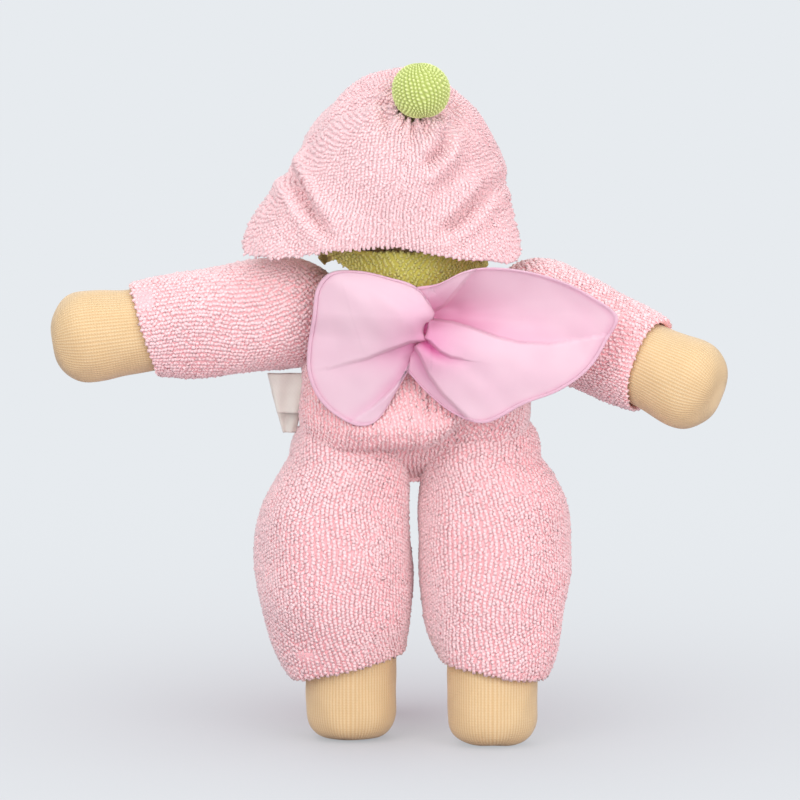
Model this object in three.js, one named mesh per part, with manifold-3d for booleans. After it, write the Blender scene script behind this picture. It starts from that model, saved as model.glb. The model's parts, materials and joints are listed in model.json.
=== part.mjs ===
// A soft rattle doll, about 21 cm tall, in millimetres with +Z up.
// It stands on its two feet and faces -Y. +X is the doll's own left.
// Stuffed forms are lofted from cross-sections. Cloth covers are thin shells over the filling.
import * as THREE from 'three';
import { mergeVertices } from 'three/addons/utils/BufferGeometryUtils.js';
import Module from 'manifold-3d';

const wasm = await Module();
wasm.setup();

// Cloth, and the room between pieces
const TERRY = 1.4;
const JERSEY = 0.8;
const SILK = 0.9;
const RIBBON = 0.7;
const FIT = 0.3;
const SWING = 0.5;
const SLACK = 0.9;

// Torso: height, then half width, half depth and middle of each cross-section
const TORSO_BOTTOM = 80;
const TORSO_TOP = 144;
const TORSO_SEAT_CAP = 24;
const TORSO_SHOULDER_CAP = 9;
const TORSO_SECTIONS = [
  [80, 36, 21, 1],
  [92, 37, 23, 2],
  [101, 35.5, 24, 2.5],
  [114, 34.5, 22.5, 1],
  [128, 36, 20, 0],
  [138, 34, 18, 0],
  [144, 27, 16, 0],
];
const BACK_SEAM_X = -4;
const FILLING_ROOM = 6;

// Neck and head
const NECK_X = 4;
const NECK_Y = -2;
const NECK_RADIUS = 9.5;
const NECK_BALL_Z = 142;
const NECK_DEPTH = 12;
const NECK_SHAFT = 40;
const HEAD_RISE = 29;
const HEAD_Z = NECK_BALL_Z + HEAD_RISE;
const HEAD_RADIUS = 29;
const HEAD_DROP = 25;
const BINDING_RADIUS = 0.65;
const BINDING_RISE = 3;

// Face, plain and embroidered
const EYE_WIDTH = 3.2;
const EYE_HEIGHT = 4.2;
const EYE_SPACING = 9;
const EYE_DROP = 4;
const MOUTH_RADIUS = 6;
const MOUTH_DROP = 9;
const STITCH_HEIGHT = 0.9;

// Hat: four petals round a crown that leans back. The rim's rows hold the turn from the back seam
// towards the doll's left, the angle down from the crown's axis, and the distance from the head's middle.
const HAT_LEAN = 35;
const HAT_ROLL = 6;
const HAT_AIR = 0.8;
const HAT_TOP_SLACK = 4.4;
const HAT_TOP_SPREAD = 32;
const HAT_FLARE_START = 50;
const HAT_FLARE_POWER = 2.6;
const HAT_RIM = [
  [-40, 86, 43],
  [0, 83, 33.5],
  [26, 87.5, 39.5],
  [50, 98, 51],
  [66, 106.5, 52],
  [80, 101.5, 42],
  [96, 90, 32.5],
  [133, 97, 37.5],
  [180, 85, 32],
  [227, 96, 36],
  [264, 87, 31.5],
  [285, 90, 36],
  [304, 92, 45.5],
  [320, 86, 43],
  [360, 83, 33.5],
  [386, 87.5, 39.5],
];
const HAT_PETALS = {
  back_left: [0, 93],
  front_left: [93, 180],
  front_right: [180, 267],
  back_right: [267, 360],
};
const BALL_RADIUS = 8.6;

// Collar of five leaves. Its rows hold the turn from the back towards the doll's left, how far out the
// crest lies and how high above the neck's ball, then how far out the edge lies and how far it falls.
const COLLAR_INNER = 12.8;
const COLLAR_BASE_RISE = 2.4;
const COLLAR_ROWS = [
  [-50, 24.5, 11.2, 24.5, 8.3],
  [-14, 24.5, 11.2, 26, 11.3],
  [22, 24.5, 11.2, 24, 9.8],
  [58, 24.5, 11.2, 27.5, 1.2],
  [94, 23, 10.2, 23.5, 5.3],
  [130, 20.5, 7.9, 27, 4],
  [166, 20.5, 7.9, 22, 4],
  [202, 20.5, 7.9, 27, 4],
  [238, 20.5, 7.9, 22, 4],
  [274, 23, 10.2, 26, 5.3],
  [310, 24.5, 11.2, 24.5, 8.3],
  [346, 24.5, 11.2, 26, 11.3],
  [382, 24.5, 11.2, 24, 9.8],
];

// Arms: rest pose, and half height and half depth along the length from the shoulder
const SHOULDER_X = 38;
const SHOULDER_Z = 131.5;
const SHOULDER_RADIUS = 16.5;
const ARM_LENGTH = { left: 72.5, right: 63 };
const ARM_DROP = { left: 7, right: 21 };
const ARM_SWEEP = { left: 0, right: 25 };
const CUFF_AT = 0.62;
const CUFF_SLANT = { left: 0.18, right: -0.1 };
const SLEEVE_SECTIONS = [
  [0, 16.5, 16.5],
  [0.2, 16.8, 16.2],
  [0.42, 16, 15.4],
  [0.62, 14.6, 14.4],
];
const HAND_SECTIONS = [
  [0.4, 12.3, 12],
  [0.66, 12.7, 12.4],
  [0.82, 13.9, 13],
  [1, 13.4, 12],
];
const HAND_TUCK = 7;
const HAND_CAP = 12;

// Legs: hip place, and outward shift, half width and half depth by depth below the hip
const HIP_X = 20;
const HIP_Z = 87;
const HIP_RADIUS = 18;
const TROUSER_SECTIONS = {
  left: [
    [0, 0, 18, 18],
    [5, 1.6, 19.8, 19],
    [14, 4, 22, 20.8],
    [31, 4.6, 23.9, 22.4],
    [45, 3.6, 22.9, 21.8],
    [56, 2.2, 20.6, 19.6],
    [64, 0.4, 17.4, 17.2],
  ],
  right: [
    [0, 0, 18, 18],
    [5, 2, 20.2, 19],
    [14, 4, 22.3, 20.8],
    [31, 4.3, 23.3, 22.4],
    [45, 4.4, 22, 21.4],
    [56, 4.3, 19.6, 19.2],
    [64, 3.9, 16.8, 17.2],
  ],
};
const HEM_AT = 64;
const HEM_SLANT = { left: 0.24, right: 0.17 };
const FOOT_X = { left: 19.5, right: 23.5 };
const FOOT_Y = { left: -4, right: 6 };
const FOOT_HALF_WIDTH = 13.7;
const FOOT_HALF_DEPTH = 14.2;
const FOOT_TUCK = 10;
const FOOT_CAP = 12;
const FOOT_FLAT = 0.5;
const STANCE_START = 20;

// Rattle: a capped cup with loose beads, in a pocket of the filling
const RATTLE_Z = 108;
const RATTLE_RADIUS = 13;
const RATTLE_HEIGHT = 17;
const RATTLE_WALL = 1.2;
const RATTLE_LID = 2.4;
const RATTLE_PLUG = 2;
const BEAD_RADIUS = 2.6;
const BEAD_COUNT = 3;
const BEAD_RING = 5.2;
const POCKET_SLIT = 9;

// Wings: one piece of silk gathered at the back, one lobe to each side
const WING_X = -4;
const WING_Y = 26.6;
const WING_Z = 125.6;
const KNOT_RADIUS = 2.3;
const KNOT_HALF_HEIGHT = 5.5;

const WING_CLEAR = 0.9;
// Angle up from level, reach from the gather, lift of the edge and swell half way
const WING_EDGE = {
  left: [
    [-56, 27, -1.5, 0.5],
    [-44, 35, -3, 1.5],
    [-25, 39.5, -5.5, 2.5],
    [0, 36.6, -6.5, 2.5],
    [26, 38, -6.5, 1],
    [39, 35.5, -5.5, 2],
    [52, 25, -3.5, 3],
    [84, 13.5, 0, 2],
  ],
  right: [
    [-84, 17, 1, 2],
    [-55, 27, 2.5, 2.5],
    [-33, 33.4, 4.5, 4.5],
    [-9, 48, 6, 6],
    [3, 54, 6, 5.5],
    [11, 56, 6, 2],
    [33, 40.8, 6.5, 0],
    [62, 25.5, 6.5, 1],
    [82, 16, 3.5, 2],
  ],
};

// Bare ribbon loops in the left side seam. Their reach is given at the lower and the upper end.
const LABEL_GAP = 1.2;
const LABELS = [
  { name: 'label_upper', low: 101, high: 113, reach: [5, 9.5], inward: 0.6, y: 1.6 },
  { name: 'label_lower', low: 94.5, high: 107, reach: [2.8, 8.4], inward: 1.8, y: -1.6 },
];

// How far the limbs swing, in degrees from the pose that they stand in
const ARM_SWING = { left: [-8, 40], right: [-14, 30] };
const LEG_SWING = [-15, 50];
const CUT_STEP = 18;

// How finely the forms are divided
const AROUND_TORSO = 22;
const AROUND_LEG = 20;
const AROUND_ARM = 18;
const AROUND_HEAD = 22;
const AROUND_CUT = 12;

const SIDES = { left: 1, right: -1 };
const degrees = THREE.MathUtils.degToRad;
const Z_AXIS = new THREE.Vector3(0, 0, 1);

// Materials

function cloth(colour, roughness = 0.95) {
  return new THREE.MeshStandardMaterial({ color: colour, roughness, metalness: 0 });
}

const PINK_TERRY = () => cloth(0xf0c0c6);
const PEACH_JERSEY = () => cloth(0xf4d5ac);
const GREEN_KNIT = () => cloth(0xc6d27e);
const OLIVE_TERRY = () => cloth(0xa8a052);
const LILAC_SILK = () => cloth(0xeecadd, 0.45);
const WHITE_COTTON = () => cloth(0xe6e1d8);
const WHITE_FILLING = () => cloth(0xf4f2ee);
const BROWN_THREAD = () => cloth(0x5a4636, 0.8);
const ROSE_THREAD = () => cloth(0xc86f74, 0.8);
const CLEAR_PLASTIC = () => cloth(0xe8ecf0, 0.35);
const STEEL_BALL = () => new THREE.MeshStandardMaterial({ color: 0xb9bcc2, roughness: 0.3, metalness: 1 });

// Forms

// A closed surface from rings of equal length. A tip closes an end with one point.
// Without tips the last ring joins the first, as on a tube with a wall.
function ringSurface(rings, firstTip, lastTip) {
  const around = rings[0].length;
  const points = rings.flat();
  const faces = [];
  const joins = firstTip ? rings.length - 1 : rings.length;
  for (let i = 0; i < joins; i += 1) {
    const low = i * around;
    const high = ((i + 1) % rings.length) * around;
    for (let j = 0; j < around; j += 1) {
      const next = (j + 1) % around;
      faces.push(low + j, low + next, high + next, low + j, high + next, high + j);
    }
  }
  const addTip = (tip, ring, flip) => {
    const at = points.push(tip) - 1;
    for (let j = 0; j < around; j += 1) {
      const here = ring * around + j;
      const next = ring * around + ((j + 1) % around);
      faces.push(at, flip ? next : here, flip ? here : next);
    }
  };
  if (firstTip) {
    addTip(firstTip, 0, true);
    addTip(lastTip, rings.length - 1, false);
  }
  return facingOut(points, faces);
}

// A geometry from points and triangles, turned so that its faces point out.
function facingOut(points, faces) {
  let volume = 0;
  for (let i = 0; i < faces.length; i += 3) {
    const [a, b, c] = [points[faces[i]], points[faces[i + 1]], points[faces[i + 2]]];
    volume += a.dot(new THREE.Vector3().crossVectors(b, c));
  }
  if (volume < 0) faces.reverse();
  const geometry = new THREE.BufferGeometry().setFromPoints(points);
  geometry.setIndex(faces);
  return geometry;
}

// A smooth function through rows that start with the place and go on with the values there.
function smooth(rows) {
  const places = rows.map((row) => row[0]);
  const values = rows.flatMap((row) => row.slice(1));
  const curve = new THREE.CubicInterpolant(places, values, rows[0].length - 1);
  return (place) => Array.from(curve.evaluate(place));
}

// The places of the rings of a rounded end: distance from the extreme point, and share of full size.
// A cut gives the end a flat of that depth.
function roundedEnd(length, power, count, cut = 0) {
  const widest = Math.PI / 2;
  const first = cut > 0 ? Math.acos((1 - cut / length) ** (power / 2)) : 0;
  const stops = [];
  for (let i = cut > 0 ? 0 : 1; i <= count; i += 1) {
    const angle = first + ((widest - first) * i) / count;
    const depth = i === count ? length : length * (1 - Math.cos(angle) ** (2 / power));
    stops.push([depth, Math.sin(angle) ** (2 / power)]);
  }
  return stops;
}

// One cross-section: a superellipse round [x, y] with half sizes w and d.
function oval(x, y, w, d, z, around, power = 2.2) {
  const ring = [];
  for (let j = 0; j < around; j += 1) {
    const angle = (2 * Math.PI * j) / around;
    const c = Math.cos(angle);
    const s = Math.sin(angle);
    ring.push(new THREE.Vector3(
      x + w * Math.sign(c) * Math.abs(c) ** (2 / power),
      y + d * Math.sign(s) * Math.abs(s) ** (2 / power),
      z,
    ));
  }
  return ring;
}

// The rings of a stuffed form along +Z, and the tips at its rounded ends.
// section gives [x, y, half width, half depth] at a place. inset shrinks the form all over.
function stuffed({ section, from, to, startCap, endCap, around, middle, inset = 0, power = 2.2 }) {
  const places = [];
  const start = from + (startCap ? inset : 0);
  const end = to - (endCap ? inset : 0);
  let low = start;
  if (startCap) {
    const length = startCap.length - inset;
    roundedEnd(length, startCap.power, startCap.rings).forEach(([depth, share]) => places.push([start + depth, share]));
    low = start + length;
  } else {
    places.push([start, 1]);
  }
  const endLength = endCap ? endCap.length - inset : 0;
  const high = end - endLength;
  for (let i = 1; i < middle; i += 1) places.push([low + ((high - low) * i) / middle, 1]);
  if (endCap) {
    const stops = roundedEnd(endLength, endCap.power, endCap.rings, endCap.cut ?? 0).reverse();
    stops.forEach(([depth, share]) => places.push([end - depth, share]));
  } else {
    places.push([end, 1]);
  }
  const rings = places.map(([place, share]) => {
    const [x, y, w, d] = section(place);
    return oval(x, y, (w - inset) * share, (d - inset) * share, place, around, power);
  });
  const tipAt = (place) => new THREE.Vector3(section(place)[0], section(place)[1], place);
  return {
    rings,
    startTip: startCap ? tipAt(start) : null,
    endTip: endCap ? tipAt(endCap.cut ? end - endCap.cut : end) : null,
  };
}

// Moves the rings near an open end so that the end lies on a slant.
function slanted(rings, end, slope, reach) {
  const [last] = rings.slice(-1);
  const middle = last.reduce((sum, point) => sum + point.x, 0) / last.length;
  rings.forEach((ring) => ring.forEach((point) => {
    const near = THREE.MathUtils.smoothstep(point.z, end - reach, end);
    point.z += slope * (point.x - middle) * near;
  }));
  return rings;
}

// A tube with a wall, open at both ends, from its outer and inner rings.
const walled = (outer, inner) => ringSurface([...outer, ...[...inner].reverse()]);

// A sheet of cloth with a thickness. at gives the middle surface for two numbers from 0 to 1.
function sheet(at, along, across, thickness) {
  const step = 1e-3;
  const side = (sign) => {
    const grid = [];
    for (let i = 0; i <= along; i += 1) {
      for (let j = 0; j <= across; j += 1) {
        const u = i / along;
        const v = j / across;
        const point = at(u, v);
        const du = at(Math.min(u + step, 1), v).sub(at(Math.max(u - step, 0), v));
        const dv = at(u, Math.min(v + step, 1)).sub(at(u, Math.max(v - step, 0)));
        grid.push(point.add(du.cross(dv).setLength((sign * thickness) / 2)));
      }
    }
    return grid;
  };
  const points = [...side(1), ...side(-1)];
  const width = across + 1;
  const back = (along + 1) * width;
  const faces = [];
  const quad = (a, b, c, d) => faces.push(a, b, c, a, c, d);
  for (let i = 0; i < along; i += 1) {
    for (let j = 0; j < across; j += 1) {
      const here = i * width + j;
      quad(here, here + width, here + width + 1, here + 1);
      quad(back + here, back + here + 1, back + here + width + 1, back + here + width);
    }
  }
  for (let i = 0; i < along; i += 1) {
    const first = i * width;
    const last = first + across;
    quad(first, back + first, back + first + width, first + width);
    quad(last, last + width, back + last + width, back + last);
  }
  for (let j = 0; j < across; j += 1) {
    const last = along * width + j;
    quad(j, j + 1, back + j + 1, back + j);
    quad(last, back + last, back + last + 1, last + 1);
  }
  return facingOut(points, faces);
}

// Solids for cutting

function solid(geometry, matrix = new THREE.Matrix4()) {
  const bare = geometry.clone().applyMatrix4(matrix);
  bare.deleteAttribute('normal');
  bare.deleteAttribute('uv');
  const merged = mergeVertices(bare, 1e-4);
  return new wasm.Manifold(new wasm.Mesh({
    numProp: 3,
    vertProperties: merged.attributes.position.array,
    triVerts: new Uint32Array(merged.index.array),
  }));
}

function geometryOf(made) {
  const mesh = made.getMesh();
  const geometry = new THREE.BufferGeometry();
  const places = new Float32Array(mesh.numVert * 3);
  for (let i = 0; i < mesh.numVert; i += 1) {
    const from = i * mesh.numProp;
    places.set(mesh.vertProperties.subarray(from, from + 3), i * 3);
  }
  geometry.setAttribute('position', new THREE.BufferAttribute(places, 3));
  geometry.setIndex(new THREE.BufferAttribute(mesh.triVerts, 1));
  return geometry;
}

const ball = (radius, x, y, z, around = 20) => solid(
  new THREE.SphereGeometry(radius, around, around / 2).rotateX(Math.PI / 2),
  new THREE.Matrix4().makeTranslation(x, y, z),
);

const block = (low, high) => solid(
  new THREE.BoxGeometry(high[0] - low[0], high[1] - low[1], high[2] - low[2]),
  new THREE.Matrix4().makeTranslation((low[0] + high[0]) / 2, (low[1] + high[1]) / 2, (low[2] + high[2]) / 2),
);

const doll = new THREE.Group();

function piece(name, geometry, material, parent = doll) {
  const mesh = new THREE.Mesh(geometry, material);
  mesh.name = name;
  parent.add(mesh);
  return mesh;
}

// Limbs, each drawn along +Z of its own group from its joint

function limbGroup(pivot, along, across) {
  const z = along.clone().normalize();
  const x = across.clone().addScaledVector(z, -across.dot(z)).normalize();
  const y = new THREE.Vector3().crossVectors(z, x);
  const group = new THREE.Group();
  group.setRotationFromMatrix(new THREE.Matrix4().makeBasis(x, y, z));
  group.position.copy(pivot);
  return group;
}

// The room that a limb needs near its joint, at one angle after another.
function sweptRoom(form, group, axis, [low, high], reach) {
  const wider = 1 / Math.cos(Math.PI / AROUND_CUT);
  const section = (place) => form.section(place).map((value, i) => (i < 2 ? value : (value + SWING) * wider - SWING));
  const { rings } = stuffed({ ...form, section, to: reach, endCap: null, inset: -SWING, around: AROUND_CUT, middle: 3 });
  const tip = new THREE.Vector3(0, 0, form.from - SWING);
  const end = rings[rings.length - 1];
  const middle = end.reduce((sum, point) => sum.add(point), new THREE.Vector3()).divideScalar(end.length);
  const room = ringSurface(rings, tip, middle);
  group.updateMatrix();
  const steps = Math.ceil((high - low) / CUT_STEP);
  const parts = [];
  for (let i = 0; i <= steps; i += 1) {
    const angle = degrees(low + ((high - low) * i) / steps);
    const turned = new THREE.Matrix4().makeTranslation(group.position.x, group.position.y, group.position.z)
      .multiply(new THREE.Matrix4().makeRotationAxis(axis, angle))
      .multiply(new THREE.Matrix4().makeTranslation(-group.position.x, -group.position.y, -group.position.z))
      .multiply(group.matrix);
    parts.push(solid(room, turned));
  }
  return wasm.Manifold.union(parts);
}

// Filling that fits a wide cover, and narrows before the mouth of a smaller one to go on inside that.
function fillingSection(wide, wideWall, narrow, narrowWall, mouth) {
  return (place) => {
    const outer = wide(Math.min(place, mouth));
    const inner = narrow(Math.max(place, mouth));
    const blend = THREE.MathUtils.smoothstep(place, mouth - 18, mouth - 7);
    const walls = [0, 0, wideWall + SLACK, wideWall + SLACK];
    const narrowWalls = [0, 0, narrowWall + FIT, narrowWall + FIT];
    return outer.map((value, i) => {
      const from = value - walls[i];
      return from + (inner[i] - narrowWalls[i] - from) * blend;
    });
  };
}

function makeArm(side) {
  const sign = SIDES[side];
  const length = ARM_LENGTH[side];
  const drop = degrees(ARM_DROP[side]);
  const sweep = degrees(ARM_SWEEP[side]);
  const pivot = new THREE.Vector3(sign * SHOULDER_X, 0, SHOULDER_Z);
  const along = new THREE.Vector3(
    sign * Math.cos(drop) * Math.cos(sweep),
    Math.cos(drop) * Math.sin(sweep),
    -Math.sin(drop),
  );
  const group = limbGroup(pivot, along, Z_AXIS);
  group.name = `arm_${side}_joint`;
  doll.add(group);

  const byLength = (rows) => smooth(rows.map(([share, ...sizes]) => [share * length, ...sizes]));
  const sleeveSize = byLength(SLEEVE_SECTIONS);
  const handSize = byLength(HAND_SECTIONS);
  const sleeveSection = (place) => [0, 0, ...sleeveSize(place)];
  const handSection = (place) => [0, 0, ...handSize(place)];
  const cuff = length * CUFF_AT;
  const mouth = cuff - HAND_TUCK;
  const root = { length: SHOULDER_RADIUS, power: 2, rings: 4 };
  const form = { section: sleeveSection, from: -SHOULDER_RADIUS, startCap: root, around: AROUND_ARM, power: 2 };

  // The sleeve starts inside the shoulder, open towards the body, and ends at a slanted cuff.
  const sleeve = (inset) => {
    const { rings } = stuffed({ ...form, to: cuff, endCap: null, middle: 4, inset });
    return slanted(rings.slice(1), cuff, CUFF_SLANT[side], 12);
  };
  piece(`sleeve_${side}`, walled(sleeve(0), sleeve(TERRY)), PINK_TERRY(), group);

  // The hand is a jersey cup whose open end is tucked into the cuff.
  const tip = { length: HAND_CAP, power: 2.5, rings: 3 };
  const hand = (inset) => stuffed({
    section: handSection, from: mouth, to: length, startCap: null, endCap: tip, around: AROUND_ARM, middle: 3, inset, power: 2.1,
  });
  const outer = hand(0);
  const inner = hand(JERSEY);
  piece(
    `hand_${side}`,
    ringSurface([...outer.rings.reverse(), ...inner.rings], outer.endTip, inner.endTip),
    PEACH_JERSEY(),
    group,
  );

  const fill = stuffed({
    section: fillingSection(sleeveSection, TERRY, handSection, JERSEY, mouth),
    from: -SHOULDER_RADIUS + TERRY + FIT,
    to: length - JERSEY - FIT,
    startCap: { length: SHOULDER_RADIUS - TERRY - FIT, power: 2, rings: 3 },
    endCap: { length: HAND_CAP - JERSEY - FIT, power: 2.5, rings: 3 },
    around: AROUND_ARM,
    middle: 6,
    power: 2,
  });
  piece(`arm_filling_${side}`, ringSurface(fill.rings, fill.startTip, fill.endTip), WHITE_FILLING(), group);
  return sweptRoom(form, group, new THREE.Vector3(0, sign, 0), ARM_SWING[side], SHOULDER_RADIUS + 16);
}

function makeLeg(side) {
  const sign = SIDES[side];
  const pivot = new THREE.Vector3(sign * HIP_X, 0, HIP_Z);
  const group = limbGroup(pivot, new THREE.Vector3(0, 0, -1), new THREE.Vector3(1, 0, 0));
  group.name = `leg_${side}_joint`;
  doll.add(group);

  // The group's own y points to the doll's front.
  const stance = (place) => -FOOT_Y[side] * THREE.MathUtils.smootherstep(place, STANCE_START, HIP_Z);
  const sizes = smooth(TROUSER_SECTIONS[side]);
  const trouserSection = (place) => {
    const [out, w, d] = sizes(place);
    return [sign * out, stance(place), w, d];
  };
  const footSection = (place) => [
    sign * (FOOT_X[side] - HIP_X), stance(place), FOOT_HALF_WIDTH, FOOT_HALF_DEPTH,
  ];
  const root = { length: HIP_RADIUS, power: 2, rings: 4 };
  const form = { section: trouserSection, from: -HIP_RADIUS, startCap: root, around: AROUND_LEG, power: 2.1 };
  const trouser = (inset) => {
    const { rings } = stuffed({ ...form, to: HEM_AT, endCap: null, middle: 5, inset });
    return slanted(rings.slice(1), HEM_AT, sign * HEM_SLANT[side], 16);
  };
  piece(`trouser_${side}`, walled(trouser(0), trouser(TERRY)), PINK_TERRY(), group);

  const mouth = HEM_AT - FOOT_TUCK;
  const foot = (inset) => stuffed({
    section: footSection,
    from: mouth,
    to: HIP_Z + FOOT_FLAT,
    startCap: null,
    endCap: { length: FOOT_CAP, power: 3.4, rings: 3, cut: inset > 0 ? 0 : FOOT_FLAT },
    around: AROUND_LEG,
    middle: 3,
    inset,
    power: 2.3,
  });
  const outer = foot(0);
  const inner = foot(JERSEY);
  piece(
    `foot_${side}`,
    ringSurface([...outer.rings.reverse(), ...inner.rings], outer.endTip, inner.endTip),
    PEACH_JERSEY(),
    group,
  );

  const fill = stuffed({
    section: fillingSection(trouserSection, TERRY, footSection, JERSEY, mouth),
    from: -HIP_RADIUS + TERRY + FIT,
    to: HIP_Z - JERSEY - FIT,
    startCap: { length: HIP_RADIUS - TERRY - FIT, power: 2, rings: 3 },
    endCap: { length: FOOT_CAP - JERSEY - FIT, power: 3.4, rings: 3 },
    around: AROUND_LEG,
    middle: 7,
    power: 2.1,
  });
  piece(`leg_filling_${side}`, ringSurface(fill.rings, fill.startTip, fill.endTip), WHITE_FILLING(), group);
  return sweptRoom(form, group, new THREE.Vector3(-1, 0, 0), LEG_SWING, HIP_RADIUS + 12);
}

// Torso: three terry panels over one filling, which holds the rattle

const torsoSize = smooth(TORSO_SECTIONS);

// How far back the torso reaches at a place
function torsoBack(x, z) {
  const [w, d, y] = torsoSize(THREE.MathUtils.clamp(z, TORSO_BOTTOM, TORSO_TOP));
  const share = Math.min(1, Math.abs(x) / w);
  return y + d * (1 - share ** 2.2) ** (1 / 2.2);
}

function torsoSolid(inset) {
  const section = (place) => {
    const [w, d, y] = torsoSize(place);
    return [0, y, w, d];
  };
  const form = stuffed({
    section,
    from: TORSO_BOTTOM,
    to: TORSO_TOP,
    startCap: { length: TORSO_SEAT_CAP, power: 2, rings: 4 },
    endCap: { length: TORSO_SHOULDER_CAP, power: 2.4, rings: 3 },
    around: AROUND_TORSO,
    middle: 4,
    inset,
  });
  return solid(ringSurface(form.rings, form.startTip, form.endTip));
}

function makeTorso(rooms) {
  const neckRoom = solid(
    new THREE.CylinderGeometry(NECK_RADIUS + FIT, NECK_RADIUS + FIT, NECK_SHAFT, 24).rotateX(Math.PI / 2),
    new THREE.Matrix4().makeTranslation(NECK_X, NECK_Y, NECK_BALL_Z - NECK_DEPTH - FIT + NECK_SHAFT / 2),
  );
  const sockets = [];
  for (const sign of [1, -1]) {
    sockets.push(ball(SHOULDER_RADIUS + SWING, sign * SHOULDER_X, 0, SHOULDER_Z));
    sockets.push(ball(HIP_RADIUS + SWING, sign * HIP_X, 0, HIP_Z));
  }
  const cut = wasm.Manifold.union([...rooms, ...sockets, neckRoom]);
  const shell = torsoSolid(0).subtract(torsoSolid(TERRY)).subtract(cut);
  const far = TORSO_TOP;
  const top = 2 * TORSO_TOP;
  const half = FIT / 2;
  const front = block([-far, -far, 0], [far, -half, top]);
  const backLeft = block([BACK_SEAM_X + half, half, 0], [far, far, top]);
  const backRight = block([-far, half, 0], [BACK_SEAM_X - half, far, top]);
  piece('body_front', geometryOf(largest(shell.intersect(front))), PINK_TERRY());
  piece('body_back_left', geometryOf(largest(shell.intersect(backLeft))), PINK_TERRY());
  piece('body_back_right', geometryOf(largest(shell.intersect(backRight))), PINK_TERRY());

  const pocket = solid(
    new THREE.CylinderGeometry(RATTLE_RADIUS + FIT, RATTLE_RADIUS + FIT, RATTLE_HEIGHT + 2 * FIT, 28).rotateX(Math.PI / 2),
    new THREE.Matrix4().makeTranslation(0, 0, RATTLE_Z + RATTLE_HEIGHT / 2),
  );
  const slit = block(
    [-POCKET_SLIT / 2, 0, RATTLE_Z - FIT],
    [POCKET_SLIT / 2, far, RATTLE_Z + RATTLE_HEIGHT + FIT],
  );
  const wide = [];
  for (const sign of [1, -1]) {
    wide.push(ball(SHOULDER_RADIUS + FILLING_ROOM, sign * SHOULDER_X, 0, SHOULDER_Z, AROUND_CUT));
    wide.push(ball(HIP_RADIUS + FILLING_ROOM, sign * HIP_X, 0, HIP_Z, AROUND_CUT));
  }
  const filling = torsoSolid(TERRY + FIT).subtract(wasm.Manifold.union([...wide, neckRoom, pocket, slit]));
  piece('body_filling', geometryOf(largest(filling)), WHITE_FILLING());
}

// The main body of a solid that a cut may have left with crumbs.
function largest(made) {
  const bodies = made.decompose().sort((a, b) => b.volume() - a.volume());
  return bodies[0];
}

function makeRattle() {
  const group = new THREE.Group();
  group.position.set(0, 0, RATTLE_Z);
  doll.add(group);
  const inner = RATTLE_RADIUS - RATTLE_WALL;
  const rim = RATTLE_HEIGHT - RATTLE_LID;
  const turned = (profile, around) => new THREE.LatheGeometry(
    profile.map(([r, z]) => new THREE.Vector2(r, z)),
    around,
  ).rotateX(Math.PI / 2);
  piece('rattle_cup', turned([
    [0, 0], [RATTLE_RADIUS - 2, 0], [RATTLE_RADIUS, 2], [RATTLE_RADIUS, rim],
    [inner, rim], [inner, RATTLE_WALL + 1], [inner - 1, RATTLE_WALL], [0, RATTLE_WALL],
  ], 24), CLEAR_PLASTIC(), group);
  const low = rim + FIT;
  const plug = inner - FIT;
  piece('rattle_lid', turned([
    [0, low - RATTLE_PLUG + RATTLE_WALL], [plug - RATTLE_WALL, low - RATTLE_PLUG + RATTLE_WALL],
    [plug - RATTLE_WALL, low - RATTLE_PLUG], [plug, low - RATTLE_PLUG], [plug, low], [RATTLE_RADIUS, low],
    [RATTLE_RADIUS, RATTLE_HEIGHT - 1.5], [RATTLE_RADIUS - 1.5, RATTLE_HEIGHT], [0, RATTLE_HEIGHT],
  ], 24), CLEAR_PLASTIC(), group);
  for (let i = 0; i < BEAD_COUNT; i += 1) {
    const angle = (2 * Math.PI * i) / BEAD_COUNT;
    const bead = new THREE.SphereGeometry(BEAD_RADIUS, 12, 8);
    const mesh = piece(`rattle_bead_${i + 1}`, bead, STEEL_BALL(), group);
    mesh.position.set(
      BEAD_RING * Math.cos(angle),
      BEAD_RING * Math.sin(angle),
      RATTLE_WALL + FIT + BEAD_RADIUS,
    );
  }
}

// Neck, head and face

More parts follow.
